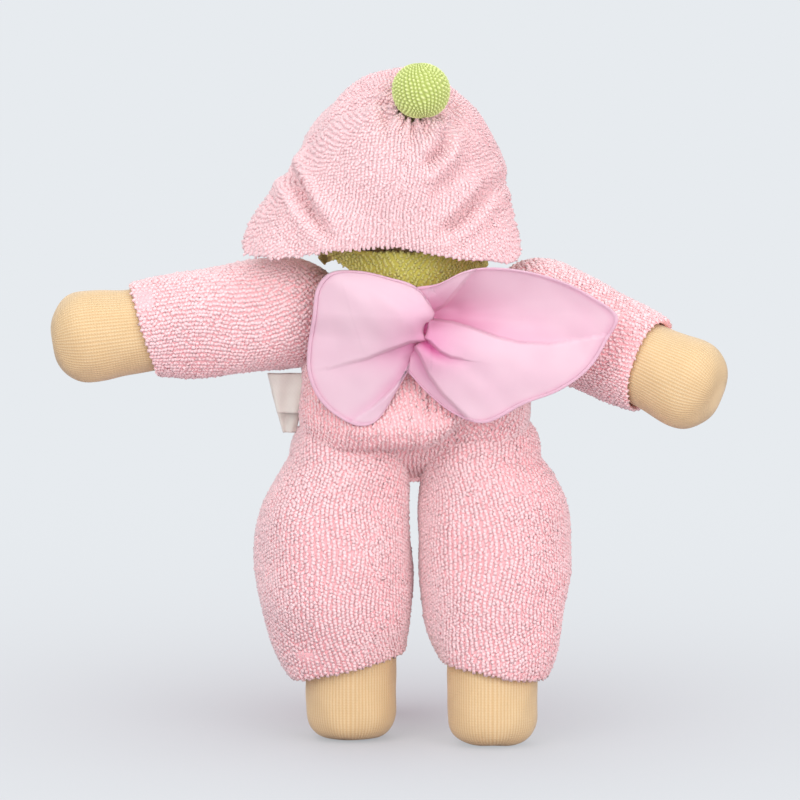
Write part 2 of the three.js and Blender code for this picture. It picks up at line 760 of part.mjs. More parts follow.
function makeHead() {
  const neck = new THREE.Group();
  neck.position.set(NECK_X, NECK_Y, NECK_BALL_Z);
  neck.name = 'neck_joint';
  doll.add(neck);
  const neckForm = stuffed({
    section: () => [0, 0, NECK_RADIUS, NECK_RADIUS],
    from: -NECK_DEPTH,
    to: NECK_RADIUS,
    startCap: { length: 3, power: 2, rings: 2 },
    endCap: { length: NECK_RADIUS, power: 2, rings: 4 },
    around: AROUND_HEAD,
    middle: 2,
    power: 2,
  });
  piece('neck', ringSurface(neckForm.rings, neckForm.startTip, neckForm.endTip), PEACH_JERSEY(), neck);
  const binding = new THREE.TorusGeometry(NECK_RADIUS + FIT + BINDING_RADIUS, BINDING_RADIUS, 6, 24);
  piece('neck_binding', binding, ROSE_THREAD(), neck).position.z = BINDING_RISE;

  // The head is round above its middle and flatter below.
  const middle = new THREE.Vector3(NECK_X, NECK_Y, HEAD_Z);
  const half = (inset) => {
    const rings = [];
    const count = 10;
    for (let i = 1; i < count; i += 1) {
      const angle = (Math.PI * i) / count;
      const rise = -Math.cos(angle) * ((i < count / 2 ? HEAD_DROP : HEAD_RADIUS) - inset);
      const radius = (HEAD_RADIUS - inset) * Math.sin(angle);
      rings.push(oval(0, 0, radius, radius, rise, AROUND_HEAD, 2));
    }
    return ringSurface(
      rings,
      new THREE.Vector3(0, 0, inset - HEAD_DROP),
      new THREE.Vector3(0, 0, HEAD_RADIUS - inset),
    );
  };
  const place = new THREE.Matrix4().makeTranslation(middle.x, middle.y, middle.z);
  const socket = ball(NECK_RADIUS + SWING, NECK_X, NECK_Y, NECK_BALL_Z);
  const cover = solid(half(0), place).subtract(solid(half(JERSEY), place)).subtract(socket);
  const filling = solid(half(JERSEY + FIT), place).subtract(socket);
  const head = new THREE.Group();
  head.name = 'head_joint';
  doll.add(head);
  piece('head_cover', geometryOf(cover), PEACH_JERSEY(), head);
  piece('head_filling', geometryOf(filling), WHITE_FILLING(), head);

  // Embroidery is a low pad seated on the jersey.
  const onFace = (name, shape, x, z, material) => {
    const drop = (z - HEAD_Z) / (z < HEAD_Z ? HEAD_DROP : HEAD_RADIUS);
    const depth = Math.sqrt(Math.max(0, 1 - drop ** 2 - (x / HEAD_RADIUS) ** 2)) * HEAD_RADIUS;
    const direction = new THREE.Vector3(x, -depth, (z - HEAD_Z)).normalize();
    const turn = new THREE.Quaternion().setFromUnitVectors(new THREE.Vector3(0, -1, 0), direction);
    const mesh = piece(name, shape, material, head);
    mesh.quaternion.copy(turn);
    mesh.position.copy(middle).add(new THREE.Vector3(x, -depth, z - HEAD_Z)).addScaledVector(direction, FIT);
  };
  for (const [side, sign] of Object.entries(SIDES)) {
    const pad = stuffed({
      section: () => [0, 0, EYE_WIDTH / 2, EYE_HEIGHT / 2],
      from: 0,
      to: STITCH_HEIGHT,
      startCap: null,
      endCap: { length: STITCH_HEIGHT, power: 2, rings: 3 },
      around: 12,
      middle: 1,
      power: 2,
    });
    const shape = ringSurface(pad.rings, new THREE.Vector3(0, 0, 0), pad.endTip).rotateX(Math.PI / 2);
    onFace(`eye_${side}`, shape, sign * EYE_SPACING, HEAD_Z - EYE_DROP, BROWN_THREAD());
  }
  const smile = new THREE.TorusGeometry(MOUTH_RADIUS, STITCH_HEIGHT / 2, 6, 12, Math.PI / 3);
  onFace('mouth', capped(smile), 0, HEAD_Z - MOUTH_DROP, ROSE_THREAD());
  return { middle, head };
}

// A part turn of a torus, centred below and closed at both ends.
function capped(torus) {
  const { radialSegments, tubularSegments, radius, tube, arc } = torus.parameters;
  const rings = [];
  for (let i = 0; i <= tubularSegments; i += 1) {
    const angle = -Math.PI / 2 - arc / 2 + (arc * i) / tubularSegments;
    const ring = [];
    for (let j = 0; j < radialSegments; j += 1) {
      const round = (2 * Math.PI * j) / radialSegments;
      const reach = radius + tube * Math.cos(round);
      ring.push(new THREE.Vector3(reach * Math.cos(angle), tube * Math.sin(round) - tube, radius + reach * Math.sin(angle)));
    }
    rings.push(ring);
  }
  const centre = (ring) => ring.reduce((sum, p) => sum.add(p), new THREE.Vector3()).divideScalar(ring.length);
  return ringSurface(rings, centre(rings[0]), centre(rings[rings.length - 1]));
}

// Hat: each petal runs from the ball's seat down the crown, and swells out to its point
function makeHat(middle, head) {
  const lean = degrees(HAT_LEAN);
  const roll = degrees(HAT_ROLL);
  const axis = new THREE.Vector3(-Math.sin(roll), Math.sin(lean), Math.cos(lean)).normalize();
  const back = new THREE.Vector3(0, 1, 0).addScaledVector(axis, -axis.y).normalize();
  const left = new THREE.Vector3().crossVectors(back, axis);
  const crown = HEAD_RADIUS + HAT_AIR + TERRY / 2;
  const seat = BALL_RADIUS + crown - TERRY / 2;
  const clear = BALL_RADIUS + FIT;
  const flareStart = degrees(HAT_FLARE_START);
  const rimAt = smooth(HAT_RIM);
  const direction = (polar, around) => new THREE.Vector3()
    .addScaledVector(axis, Math.cos(polar))
    .addScaledVector(back, Math.sin(polar) * Math.cos(around))
    .addScaledVector(left, Math.sin(polar) * Math.sin(around));
  const slackAt = (polar, around) => {
    const away = direction(polar, around).angleTo(Z_AXIS) / degrees(HAT_TOP_SPREAD);
    return HAT_TOP_SLACK * Math.exp(-(away ** 2));
  };
  // Where the cloth meets the ball
  const peakAt = (around) => {
    let polar = 0;
    for (let i = 0; i < 4; i += 1) {
      const outer = crown + slackAt(polar, around) + TERRY / 2;
      polar = Math.acos((outer ** 2 + seat ** 2 - clear ** 2) / (2 * outer * seat)) + degrees(1);
    }
    return polar;
  };

  for (const [name, [low, high]] of Object.entries(HAT_PETALS)) {
    const at = (u, v) => {
      const turn = low + (high - low) * v;
      const [rimAngle, rimReach] = rimAt(turn);
      const peak = peakAt(degrees(turn));
      const polar = peak + (degrees(rimAngle) - peak) * u;
      const flare = Math.max(0, (polar - flareStart) / (degrees(rimAngle) - flareStart)) ** HAT_FLARE_POWER;
      const radius = crown + slackAt(polar, degrees(turn)) + (rimReach - crown) * flare;
      const seam = (FIT / 2 / (radius * Math.sin(polar))) * (1 - 2 * v);
      const around = degrees(turn) + seam;
      return middle.clone().addScaledVector(direction(polar, around), radius);
    };
    piece(`hat_petal_${name}`, sheet(at, 9, 12, TERRY), PINK_TERRY(), head);
  }
  const knit = new THREE.SphereGeometry(BALL_RADIUS, 18, 14).rotateX(Math.PI / 2);
  piece('hat_ball', knit, GREEN_KNIT(), head).position.copy(middle).addScaledVector(axis, seat);
}

// Collar: a ring of leaves that rises beside the head and folds over the shoulders
function makeCollar() {
  const thickness = TERRY;
  const rowAt = smooth(COLLAR_ROWS);
  const at = (u, v) => {
    const turn = 2 * Math.PI * v;
    const [crest, top, tip, fall] = rowAt(360 * THREE.MathUtils.euclideanModulo(v, 1));
    const rise = smooth([
      [0, COLLAR_INNER, COLLAR_BASE_RISE],
      [0.5, crest, top],
      [0.75, (crest + tip) / 2, top + 0.6 - fall * 0.35],
      [1, tip, top - fall],
    ]);
    const [reach, height] = rise(u);
    return new THREE.Vector3(
      NECK_X + reach * Math.sin(turn),
      NECK_Y + reach * Math.cos(turn),
      NECK_BALL_Z + height,
    );
  };
  const along = 6;
  const around = 60;
  const step = 1e-3;
  const layer = (sign) => {
    const rings = [];
    for (let i = 0; i <= along; i += 1) {
      const ring = [];
      for (let j = 0; j < around; j += 1) {
        const u = i / along;
        const v = j / around;
        const du = at(Math.min(u + step, 1), v).sub(at(Math.max(u - step, 0), v));
        const dv = at(u, v + step).sub(at(u, v - step));
        ring.push(at(u, v).add(dv.cross(du).setLength((sign * thickness) / 2)));
      }
      rings.push(ring);
    }
    return rings;
  };
  piece('collar', walled(layer(1), layer(-1)), OLIVE_TERRY());
}

// Wings: each lobe fans out from the gather and swells away from the back
function makeWings() {
  const knot = stuffed({
    section: () => [0, 0, KNOT_RADIUS, KNOT_RADIUS],
    from: -KNOT_HALF_HEIGHT,
    to: KNOT_HALF_HEIGHT,
    startCap: { length: 3, power: 2, rings: 2 },
    endCap: { length: 3, power: 2, rings: 2 },
    around: 12,
    middle: 2,
    power: 2,
  });
  piece('wing_knot', ringSurface(knot.rings, knot.startTip, knot.endTip), LILAC_SILK())
    .position.set(WING_X, WING_Y, WING_Z);
  for (const [side, edge] of Object.entries(WING_EDGE)) {
    const sign = SIDES[side];
    const shape = smooth(edge);
    const first = edge[0][0];
    const last = edge[edge.length - 1][0];
    const start = KNOT_RADIUS + FIT + SILK / 2;
    const at = (u, v) => {
      const angle = first + (last - first) * v;
      const [reach, off, swell] = shape(angle);
      const gathered = THREE.MathUtils.clamp(1 - u * 4, 0, 1);
      const distance = start + (reach - start) * u;
      const across = Math.max(distance * Math.cos(degrees(angle)), start);
      const x = WING_X + sign * across;
      const z = WING_Z + distance * Math.sin(degrees(angle)) * (1 + 0.3 * gathered);
      const free = WING_Y + off * u * u + 4 * swell * u * (1 - u);
      return new THREE.Vector3(x, Math.max(free, torsoBack(x, z) + WING_CLEAR), z);
    };
    piece(`wing_${side}`, sheet(at, 7, 16, SILK), LILAC_SILK());
  }
}

// Ribbon loops: each is one ribbon folded double, its ends caught in the side seam
function makeLabels() {
  for (const { name, low, high, reach, inward, y } of LABELS) {
    const half = LABEL_GAP / 2;
    const bend = reach[1] - half - RIBBON;
    const outline = new THREE.Shape();
    outline.moveTo(0, half);
    outline.lineTo(bend, half);
    outline.absarc(bend, 0, half, Math.PI / 2, -Math.PI / 2, true);
    outline.lineTo(0, -half);
    outline.lineTo(0, -half - RIBBON);
    outline.lineTo(bend, -half - RIBBON);
    outline.absarc(bend, 0, half + RIBBON, -Math.PI / 2, Math.PI / 2, false);
    outline.lineTo(0, half + RIBBON);
    outline.closePath();
    const loop = new THREE.ExtrudeGeometry(outline, { depth: high - low, bevelEnabled: false, curveSegments: 5 });
    const places = loop.attributes.position;
    for (let i = 0; i < places.count; i += 1) {
      const fall = 1 - places.getZ(i) / (high - low);
      const scale = 1 + (reach[0] / reach[1] - 1) * fall;
      places.setX(i, places.getX(i) * scale + inward * fall);
    }
    piece(name, loop, WHITE_COTTON()).position.set(torsoSize(high)[0] + FIT, y, low);
  }
}

const rooms = [makeArm('left'), makeArm('right'), makeLeg('left'), makeLeg('right')];
makeTorso(rooms);
makeRattle();
const { middle, head } = makeHead();
makeHat(middle, head);
makeCollar();
makeWings();
makeLabels();

// The origin lies on the floor under the middle of the doll's box.
doll.updateMatrixWorld(true);
const box = new THREE.Box3().setFromObject(doll, true);
const part = new THREE.Group();
part.add(doll);
doll.position.set(-(box.min.x + box.max.x) / 2, -(box.min.y + box.max.y) / 2, -box.min.z);

export default part;
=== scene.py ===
# The looks of a soft rattle doll: terry with real loops, knitted jersey, silk, ribbon and thread.
# Sizes are in millimetres in the doll's own frame: +Z up, the face to -Y, the doll's left to +X.
import json
import math

import bmesh
import bpy
import numpy as np
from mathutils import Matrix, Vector


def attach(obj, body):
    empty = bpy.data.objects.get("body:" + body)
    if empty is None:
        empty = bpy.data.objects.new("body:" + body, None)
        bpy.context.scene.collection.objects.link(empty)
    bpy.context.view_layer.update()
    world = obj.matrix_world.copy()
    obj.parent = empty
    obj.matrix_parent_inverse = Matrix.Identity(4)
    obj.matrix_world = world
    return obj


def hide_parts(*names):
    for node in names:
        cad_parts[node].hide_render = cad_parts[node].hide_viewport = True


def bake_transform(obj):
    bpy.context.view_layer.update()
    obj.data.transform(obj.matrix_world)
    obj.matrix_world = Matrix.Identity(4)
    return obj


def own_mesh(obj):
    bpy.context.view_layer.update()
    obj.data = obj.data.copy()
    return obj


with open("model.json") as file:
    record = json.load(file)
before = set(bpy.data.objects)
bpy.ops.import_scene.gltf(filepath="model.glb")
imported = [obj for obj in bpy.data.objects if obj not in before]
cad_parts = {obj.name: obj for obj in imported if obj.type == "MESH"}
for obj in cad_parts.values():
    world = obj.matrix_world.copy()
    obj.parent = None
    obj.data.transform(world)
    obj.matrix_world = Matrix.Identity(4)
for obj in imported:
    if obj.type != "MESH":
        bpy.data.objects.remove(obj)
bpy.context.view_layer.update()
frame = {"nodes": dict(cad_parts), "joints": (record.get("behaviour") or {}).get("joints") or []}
MM = 0.001
SAME_PLACE = 0.01 * MM

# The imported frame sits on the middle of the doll's box. The neck's joint says how far it was moved.
NECK = np.array([4.0, -2.0, 142.0])
NECK_JOINT = next(j for j in frame["joints"] if j["name"] == "head_turn")
SHIFT = np.array(NECK_JOINT["pos_m"]) / MM - NECK
SIDES = {"left": 1.0, "right": -1.0}

# Terry: its thickness, a loop's height, the distance of its feet and its yarn's radius, the distances from loop to
# loop, how far its feet are sunk in, how far the outermost stay from a side, and the ground's depth
TERRY = 1.4
LOOP_HEIGHT = 0.54
LOOP_FOOT = 0.95
LOOP_YARN = 0.58
LOOP_COLUMN = 1.34
LOOP_ROW = 1.08
LOOP_SUNK = 0.32
LOOP_FROM_SIDE = 0.35
GROUND_DEPTH = 0.58
HEM_WALL = 2 * GROUND_DEPTH + 0.6
# A loop is left out where it would lie deeper than this inside a neighbour
HIDDEN_IN_LIMB = 3.5
HIDDEN_IN_TORSO = 5.0

# Jersey: the distance between courses, the wales' height, and the wales round each piece
COURSE = 0.85
WALE_HEIGHT = 0.07
HAND_WALES = 84
FOOT_WALES = 88
HEAD_WALES = 140
NECK_WALES = 60

# The distance between rows of points, the points round each terry form and round one wale, and the powers of the
# superellipses, of which 2 is an ellipse
TERRY_GRID = 1.0
JERSEY_GRID = 0.75
TORSO_AROUND, LEG_AROUND, ARM_AROUND = 170, 150, 120
WALE_AROUND = 5
ROUND = 2.0
TORSO_POWER, LEG_POWER, FOOT_POWER, HAND_POWER = 2.2, 2.1, 2.3, 2.1

# Torso: height, then half width, half depth and middle of each cross-section
TORSO = [
    [80, 36, 21, 1], [92, 37, 23, 2], [101, 35.5, 24, 2.5], [114, 34.5, 22.5, 1],
    [128, 36, 20, 0], [138, 34, 18, 0], [144, 27, 16, 0],
]
TORSO_RANGE = (80, 144)
TORSO_CAPS = ((24, ROUND), (9, 2.4))

# Arms: the shoulder's joint, the rest pose in degrees, and half height and half depth by share of the length
SHOULDER_X = 38.0
SHOULDER_Z = 131.5
SHOULDER_RADIUS = 16.5
ARM_LENGTH = {"left": 72.5, "right": 63.0}
ARM_DROP = {"left": 7.0, "right": 21.0}
ARM_SWEEP = {"left": 0.0, "right": 25.0}
CUFF_AT = 0.62
CUFF_SLANT = {"left": 0.18, "right": -0.1}
CUFF_REACH = 12.0
CUFF_TURNED_IN = 6.0
SLEEVE = [[0, 16.5, 16.5], [0.2, 16.8, 16.2], [0.42, 16, 15.4], [0.62, 14.6, 14.4]]
HAND = [[0.4, 12.3, 12], [0.66, 12.7, 12.4], [0.82, 13.9, 13], [1, 13.4, 12]]
HAND_TUCK = 7.0
HAND_CAP = (12.0, 2.5)

# Legs: outward shift, half width and half depth by depth below the hip
HIP_X = 20.0
HIP_Z = 87.0
HIP_RADIUS = 18.0
TROUSER = {
    "left": [
        [0, 0, 18, 18], [5, 1.6, 19.8, 19], [14, 4, 22, 20.8], [31, 4.6, 23.9, 22.4],
        [45, 3.6, 22.9, 21.8], [56, 2.2, 20.6, 19.6], [64, 0.4, 17.4, 17.2],
    ],
    "right": [
        [0, 0, 18, 18], [5, 2, 20.2, 19], [14, 4, 22.3, 20.8], [31, 4.3, 23.3, 22.4],
        [45, 4.4, 22, 21.4], [56, 4.3, 19.6, 19.2], [64, 3.9, 16.8, 17.2],
    ],
}
HEM_AT = 64.0
HEM_SLANT = {"left": 0.24, "right": 0.17}
HEM_REACH = 16.0
FOOT_X = {"left": 19.5, "right": 23.5}
FOOT_Y = {"left": -4.0, "right": 6.0}
FOOT_HALF = (13.7, 14.2)
FOOT_TUCK = 10.0
FOOT_CAP = (12.0, 3.4)
STANCE_START = 20.0
HEM_TURNED_IN = 8.0

# Head and face
HEAD = np.array([4.0, -2.0, 171.0])
HEAD_RADIUS = 29.0
HEAD_DROP = 25.0
NECK_RADIUS = 9.5
NECK_LOW = 130.0
BINDING_Z = 145.0
BINDING_YARN = 0.65
EYE_SPACING = 9.0
EYE_DROP = 4.0
EYE_SIZE = (3.2, 4.2)
MOUTH_DROP = 9.0
MOUTH_RADIUS = 6.0

# Hat. The crown's axis leans back and rolls to the doll's right. The rim's rows hold the turn from the back seam
# towards the doll's left, the angle down from that axis, and the distance from the head's middle.
HAT_LEAN = 35.0
HAT_ROLL = 6.0
HAT_PEAK = 9.0
HAT_CROWN = 30.5
HAT_ROOM = 3.0
HAT_TOP_SLACK = 4.4
HAT_TOP_SPREAD = 32.0
HAT_FLARE_START = 50.0
HAT_FLARE_POWER = 2.6
HAT_RIM = [
    [-40, 86, 43], [0, 83, 33.5], [26, 87.5, 39.5], [50, 98, 51], [66, 106.5, 52], [80, 101.5, 42],
    [96, 90, 32.5], [133, 97, 37.5], [180, 85, 32], [227, 96, 36], [264, 87, 31.5], [285, 90, 36],
    [304, 92, 45.5], [320, 86, 43], [360, 83, 33.5], [386, 87.5, 39.5],
]
HAT_PETALS = {
    "back_left": (0, 93), "front_left": (93, 180),
    "front_right": (180, 267), "back_right": (267, 360),
}
HAT_SPACING = {"column": 1.16, "row": 0.98, "sway": 0.8}
HAT_LOOPS = {"height": 0.5, "foot": 0.86, "yarn": 0.49}
BALL_RADIUS = 8.6
BALL_REACH = 38.4
BALL_SAG = np.array([-1.8, 0.0, -0.4])

# Collar of five leaves. Its rows hold the turn from the back towards the doll's left, how far out the crest lies
# and how high above the neck's joint, then how far out the edge lies and how far it falls.
COLLAR_INNER = 12.8
COLLAR_BASE_RISE = 2.4
COLLAR_SPACING = {"column": 1.1, "row": 0.8, "sway": 0.5}
COLLAR_LOOPS = {"height": 0.65, "foot": 0.8, "yarn": 0.38, "lean": 0.15}
COLLAR_ROWS = [
    [-50, 24.5, 11.2, 24.5, 8.3], [-14, 24.5, 11.2, 26, 11.3], [22, 24.5, 11.2, 24, 9.8],
    [58, 24.5, 11.2, 27.5, 1.2], [94, 23, 10.2, 23.5, 5.3], [130, 20.5, 7.9, 27, 4],
    [166, 20.5, 7.9, 22, 4], [202, 20.5, 7.9, 27, 4], [238, 20.5, 7.9, 22, 4],
    [274, 23, 10.2, 26, 5.3], [310, 24.5, 11.2, 24.5, 8.3], [346, 24.5, 11.2, 26, 11.3],
    [382, 24.5, 11.2, 24, 9.8],
]

# Silk wings: the gather's middle, the silk's thickness, the hem's width, how many times longer than a lobe its
# flat cloth is, and the points along a lobe's edge, across it and across its hem
GATHER = np.array([-4.0, 26.6, 125.6])
SILK = 0.22
HEM = 1.1
GATHERED = 1.2
WING_ALONG, WING_ACROSS, WING_HEM_ROWS = 180, 110, 6
# Each lobe's rows run from its top round its edge to its bottom and hold: share of the way, then x and height of
# its inner and outer end as seen from the back, how far back of the gather both ends lie, and the swell between
# them. Its folds are lines whose left side is raised: points, rise at both ends, how far the rise and the hollow
# on the other side reach, and the hollow's depth at both ends.
WING = {
    "left": [
        [0.00, -5.6, 129.8, -4.2, 132.6, 0.0, 2.0, 0.6], [0.06, -5.7, 129.4, 0.0, 137.4, 0.0, 1.0, 2.0],
        [0.14, -5.6, 128.8, 8.2, 140.2, 0.2, -1.0, 3.6], [0.22, -5.3, 128.0, 17.0, 142.1, 0.4, -3.0, 4.6],
        [0.30, -4.4, 127.2, 25.4, 141.6, 0.5, -4.5, 5.4], [0.37, -3.3, 126.5, 29.6, 137.0, 0.5, -5.5, 5.8],
        [0.45, -2.5, 125.3, 31.0, 127.6, 0.5, -6.0, 5.8], [0.53, -2.4, 123.6, 32.4, 119.0, 0.5, -6.0, 5.2],
        [0.60, -3.4, 121.6, 32.3, 111.5, 0.4, -5.6, 4.4], [0.67, -3.0, 120.2, 29.6, 104.6, 0.0, -5.0, 3.6],
        [0.75, -1.4, 119.2, 24.0, 98.8, -0.6, -4.0, 3.2], [0.83, -0.4, 118.2, 16.4, 95.5, -0.8, -2.6, 3.0],
        [0.90, 0.2, 117.2, 10.6, 98.2, -0.8, -1.6, 2.4], [0.95, 0.5, 116.4, 5.6, 106.2, -0.8, -1.0, 1.4],
        [1.00, 0.4, 115.6, 2.0, 112.2, -0.8, -0.8, 0.6],
    ],
    "right": [
        [0.00, 0.6, 135.0, -0.6, 137.2, -0.6, 1.0, 0.0], [0.06, -0.6, 133.2, -7.0, 138.2, -1.0, 2.6, 0.6],
        [0.13, -1.6, 131.5, -14.7, 141.8, -1.4, 3.8, 0.6], [0.20, -2.6, 130.0, -22.0, 143.0, -2.0, 4.6, -1.0],
        [0.28, -3.4, 129.0, -33.0, 142.0, -2.4, 5.2, -3.6], [0.36, -3.8, 128.2, -44.0, 138.9, -2.6, 5.8, -4.6],
        [0.43, -4.0, 127.4, -53.0, 134.4, -2.6, 6.2, -4.4], [0.50, -4.0, 126.4, -60.8, 128.2, -2.4, 6.4, -2.6],
        [0.56, -3.8, 125.2, -57.8, 121.4, -2.0, 6.2, 0.6], [0.63, -3.4, 123.8, -52.4, 112.8, -1.6, 5.8, 3.4],
        [0.70, -2.8, 122.4, -43.8, 106.4, -1.4, 5.2, 4.6], [0.78, -2.0, 121.2, -33.0, 102.2, -1.4, 4.6, 4.8],
        [0.86, -0.8, 120.2, -20.6, 96.4, -1.4, 3.8, 3.8], [0.92, 0.2, 119.4, -11.0, 99.6, -1.4, 2.6, 2.2],
        [0.96, 0.8, 118.2, -4.0, 105.2, -1.4, 0.8, 1.0], [1.00, 1.4, 116.2, 2.0, 111.6, -1.4, -0.4, 0.4],
    ],
}
WING_FOLDS = {
    "left": [
        ([(-5.0, 120.9), (1.4, 120.6), (8.3, 118.2), (14.9, 115.6), (22.0, 113.9)],
         (3.0, 0.2), 12.0, 4.0, (2.2, 0.3)),
        ([(18.0, 97.6), (12.9, 101.0), (8.9, 104.6), (4.6, 109.0), (1.4, 114.6)],
         (0.9, 1.0), 4.0, 2.4, (0.9, 1.4)),
    ],
    "right": [
        ([(-3.0, 127.6), (-5.2, 127.8), (-11.4, 126.8), (-16.7, 125.2), (-24.6, 122.3), (-31.2, 120.6),
          (-40.0, 120.0), (-50.0, 121.5)], (4.4, 0.3), 16.0, 9.0, (2.6, 0.5)),
        ([(-20.5, 144.6), (-16.7, 141.2), (-12.1, 135.6), (-8.8, 131.8), (-5.4, 130.0), (-2.0, 129.6)],
         (1.4, 4.2), 9.0, 5.0, (0.8, 1.6)),
        ([(-17.0, 96.6), (-12.1, 101.3), (-8.1, 105.2), (-4.2, 110.6), (-1.5, 116.4), (1.2, 121.0)],
         (1.0, 2.2), 7.0, 3.0, (0.6, 1.2)),
        ([(-14.0, 115.6), (-10.6, 116.2), (-7.4, 117.8), (-4.0, 121.0)], (0.2, 1.0), 4.0, 2.2, (0.6, 2.6)),
    ],
}
# How far the silk stays off the body, how softly it comes to rest there, and how far and over which heights it
# gives way to the hat
WING_CLEAR, WING_REST = 1.0, 0.6
HAT_CLEAR, HAT_NEAR = 1.9, (127.0, 135.0)
KNOT = np.array([-3.0, 27.0, 129.4])
KNOT_RADIUS = 2.6
KNOT_HALF_HEIGHT = 5.0

# Ribbon loops in the left side seam
LABELS = {
    "label_upper": {"low": 101.0, "high": 113.0, "reach": (6.6, 10.3), "inward": 0.6, "y": 1.6},
    "label_lower": {"low": 94.5, "high": 107.0, "reach": (3.2, 8.8), "inward": 1.8, "y": -1.6},
}
LABEL_GAP = 1.2
RIBBON = 0.35

# Creases pressed into the cloth, as seen from the back: points (x, height), width and depth. A lip's height is a
# share of the depth.
CREASE_LIP = 0.35
HAT_CREASES = [
    ([(41.0, 179.0), (37.0, 169.6), (32.4, 161.0), (26.6, 153.0)], 1.8, 4.2),
    ([(-26.0, 169.8), (-18.8, 162.7), (-12.8, 156.7), (-8.6, 154.0)], 1.8, 3.9),
    ([(-10.4, 185.4), (-8.6, 180.0), (-6.0, 176.6), (-3.6, 173.8)], 1.7, 3.4),
    ([(-15.6, 173.9), (-9.8, 169.2), (-6.0, 165.5)], 2.0, 2.0),
    ([(-9.6, 193.5), (-12.5, 188.0), (-16.0, 183.2)], 1.6, 1.4),
    ([(9.9, 192.5), (8.6, 187.5), (8.8, 181.0)], 1.6, 1.3),
]
TORSO_CREASES = [
    ([(-3.0, 123.0), (-4.0, 106.0), (-4.5, 92.0)], 0.9, 0.9),
]
# The seat's lower edge as seen from the back: x, height, the tuck of the cloth below, and the bulge above
SEAT_EDGE = np.array([
    [-36, 97.8, 0, 0], [-25, 97.6, 2.0, 0.2], [-16.7, 97.3, 5.0, 0.6], [-11.8, 95.6, 6.5, 1.2],
    [-7.9, 91.6, 7.5, 1.6], [-2.6, 89.4, 8.0, 1.8], [10.6, 88.9, 7.5, 1.8], [21.8, 88.2, 4.0, 1.3],
    [25.8, 86.7, 2.0, 0.8], [33, 84, 0, 0],
])
VIEW_RISE = math.radians(9.0)


# Shapes


def smooth(rows):
    """A cubic through rows of (place, values), whose slope at a row is the mean of the slopes to its neighbours.
    Beyond the rows it stays level."""
    rows = np.array(rows, float)
    places, values = rows[:, 0], rows[:, 1:]
    secant = np.diff(values, axis=0) / np.diff(places)[:, None]
    slope = np.vstack([secant[:1], (secant[1:] + secant[:-1]) / 2, secant[-1:]])

    def at(place):
        place = np.clip(place, places[0], places[-1])
        i = np.clip(np.searchsorted(places, place, "right") - 1, 0, len(places) - 2)
        step = (places[i + 1] - places[i])[..., None]
        p = (place[..., None] - places[i][..., None]) / step
        start = (1 + 2 * p) * (1 - p) ** 2 * values[i] + p * (1 - p) ** 2 * step * slope[i]
        return start + p * p * (3 - 2 * p) * values[i + 1] + p * p * (p - 1) * step * slope[i + 1]

    return at


def ease(place, low, high, quintic=False):
    """Rises from 0 at low to 1 at high without a corner."""
    t = np.clip((place - low) / (high - low), 0, 1)
    return t**3 * (t * (6 * t - 15) + 10) if quintic else t * t * (3 - 2 * t)


def signed_power(value, power):
    return np.sign(value) * np.abs(value) ** power


def unit(vectors):
    return vectors / np.maximum(np.linalg.norm(vectors, axis=-1, keepdims=True), 1e-9)


def joined(*parts):
    """Arrays side by side along a new last axis, such as x, y and z as points."""
    return np.stack(np.broadcast_arrays(*parts), -1)


def all_round(count):
    """Equal steps round a full turn, as angles."""
    return 2 * np.pi * np.arange(count) / count


def steps_between(points, axis):
    """The distances between neighbouring points along an axis of a grid."""
    return np.linalg.norm(np.diff(points, axis=axis), axis=-1)


def rounded_end(length, power):
    """A rounded end: depth from its extreme point, and share of the full section, by equal angles."""
    angle = np.linspace(0, np.pi / 2, 14)
    return length * (1 - np.cos(angle) ** (2 / power)), np.sin(angle) ** (2 / power)


def profile(start, end, start_cap=None, end_cap=None, turned_in=0.0, wall=0.0):
    """Rows of (place, share of the section, inset) along a stuffed form. Without an end cap the cloth may turn in
    over its wall, run back inside by turned_in and close there, out of sight."""
    rows, low, high = [], start, end
    if start_cap:
        depth, share = rounded_end(*start_cap)
        rows += [(start + d, s, 0.0) for d, s in zip(depth, share)]
        low = start + start_cap[0]
    else:
        rows += [(start, 0.0, 0.0), (start, 1.0, 0.0)]
    if end_cap:
        high = end - end_cap[0]
    rows += [(place, 1.0, 0.0) for place in np.linspace(low, high, 12)[1:-1]]
    if end_cap:
        depth, share = rounded_end(*end_cap)
        rows += [(end - d, s, 0.0) for d, s in zip(depth[::-1], share[::-1])]
    else:
        turn = np.linspace(0, np.pi, 6)
        rows += [(end - wall / 2 * (1 - math.sin(a)), 1.0, wall / 2 * (1 - math.cos(a))) for a in turn]
        rows += [(end - turned_in, 1.0, wall), (end - turned_in, 0.0, wall)]
    return np.array(rows)


def stuffed(section, rows, power, around, step):
    """A stuffed form on a grid: its rows lie about step apart along the profile, and each is a superellipse.
    section gives (x, y, half width, half depth) at each place along the form."""
    sizes = section(rows[:, 0])
    radius = (sizes[:, 2] + sizes[:, 3]) / 2
    drawn = joined(rows[:, 0], (radius - rows[:, 2]) * rows[:, 1])
    length = np.concatenate([[0], np.cumsum(steps_between(drawn, 0))])
    wanted = np.linspace(0, length[-1], int(length[-1] / step) + 2)
    place, share, inset = (np.interp(wanted, length, rows[:, i]) for i in range(3))
    x, y, w, d = section(place).T
    angle = all_round(around)
    across = x[:, None] + ((w - inset) * share)[:, None] * signed_power(np.cos(angle), 2 / power)
    depth = y[:, None] + ((d - inset) * share)[:, None] * signed_power(np.sin(angle), 2 / power)
    return joined(across, depth, place[:, None])


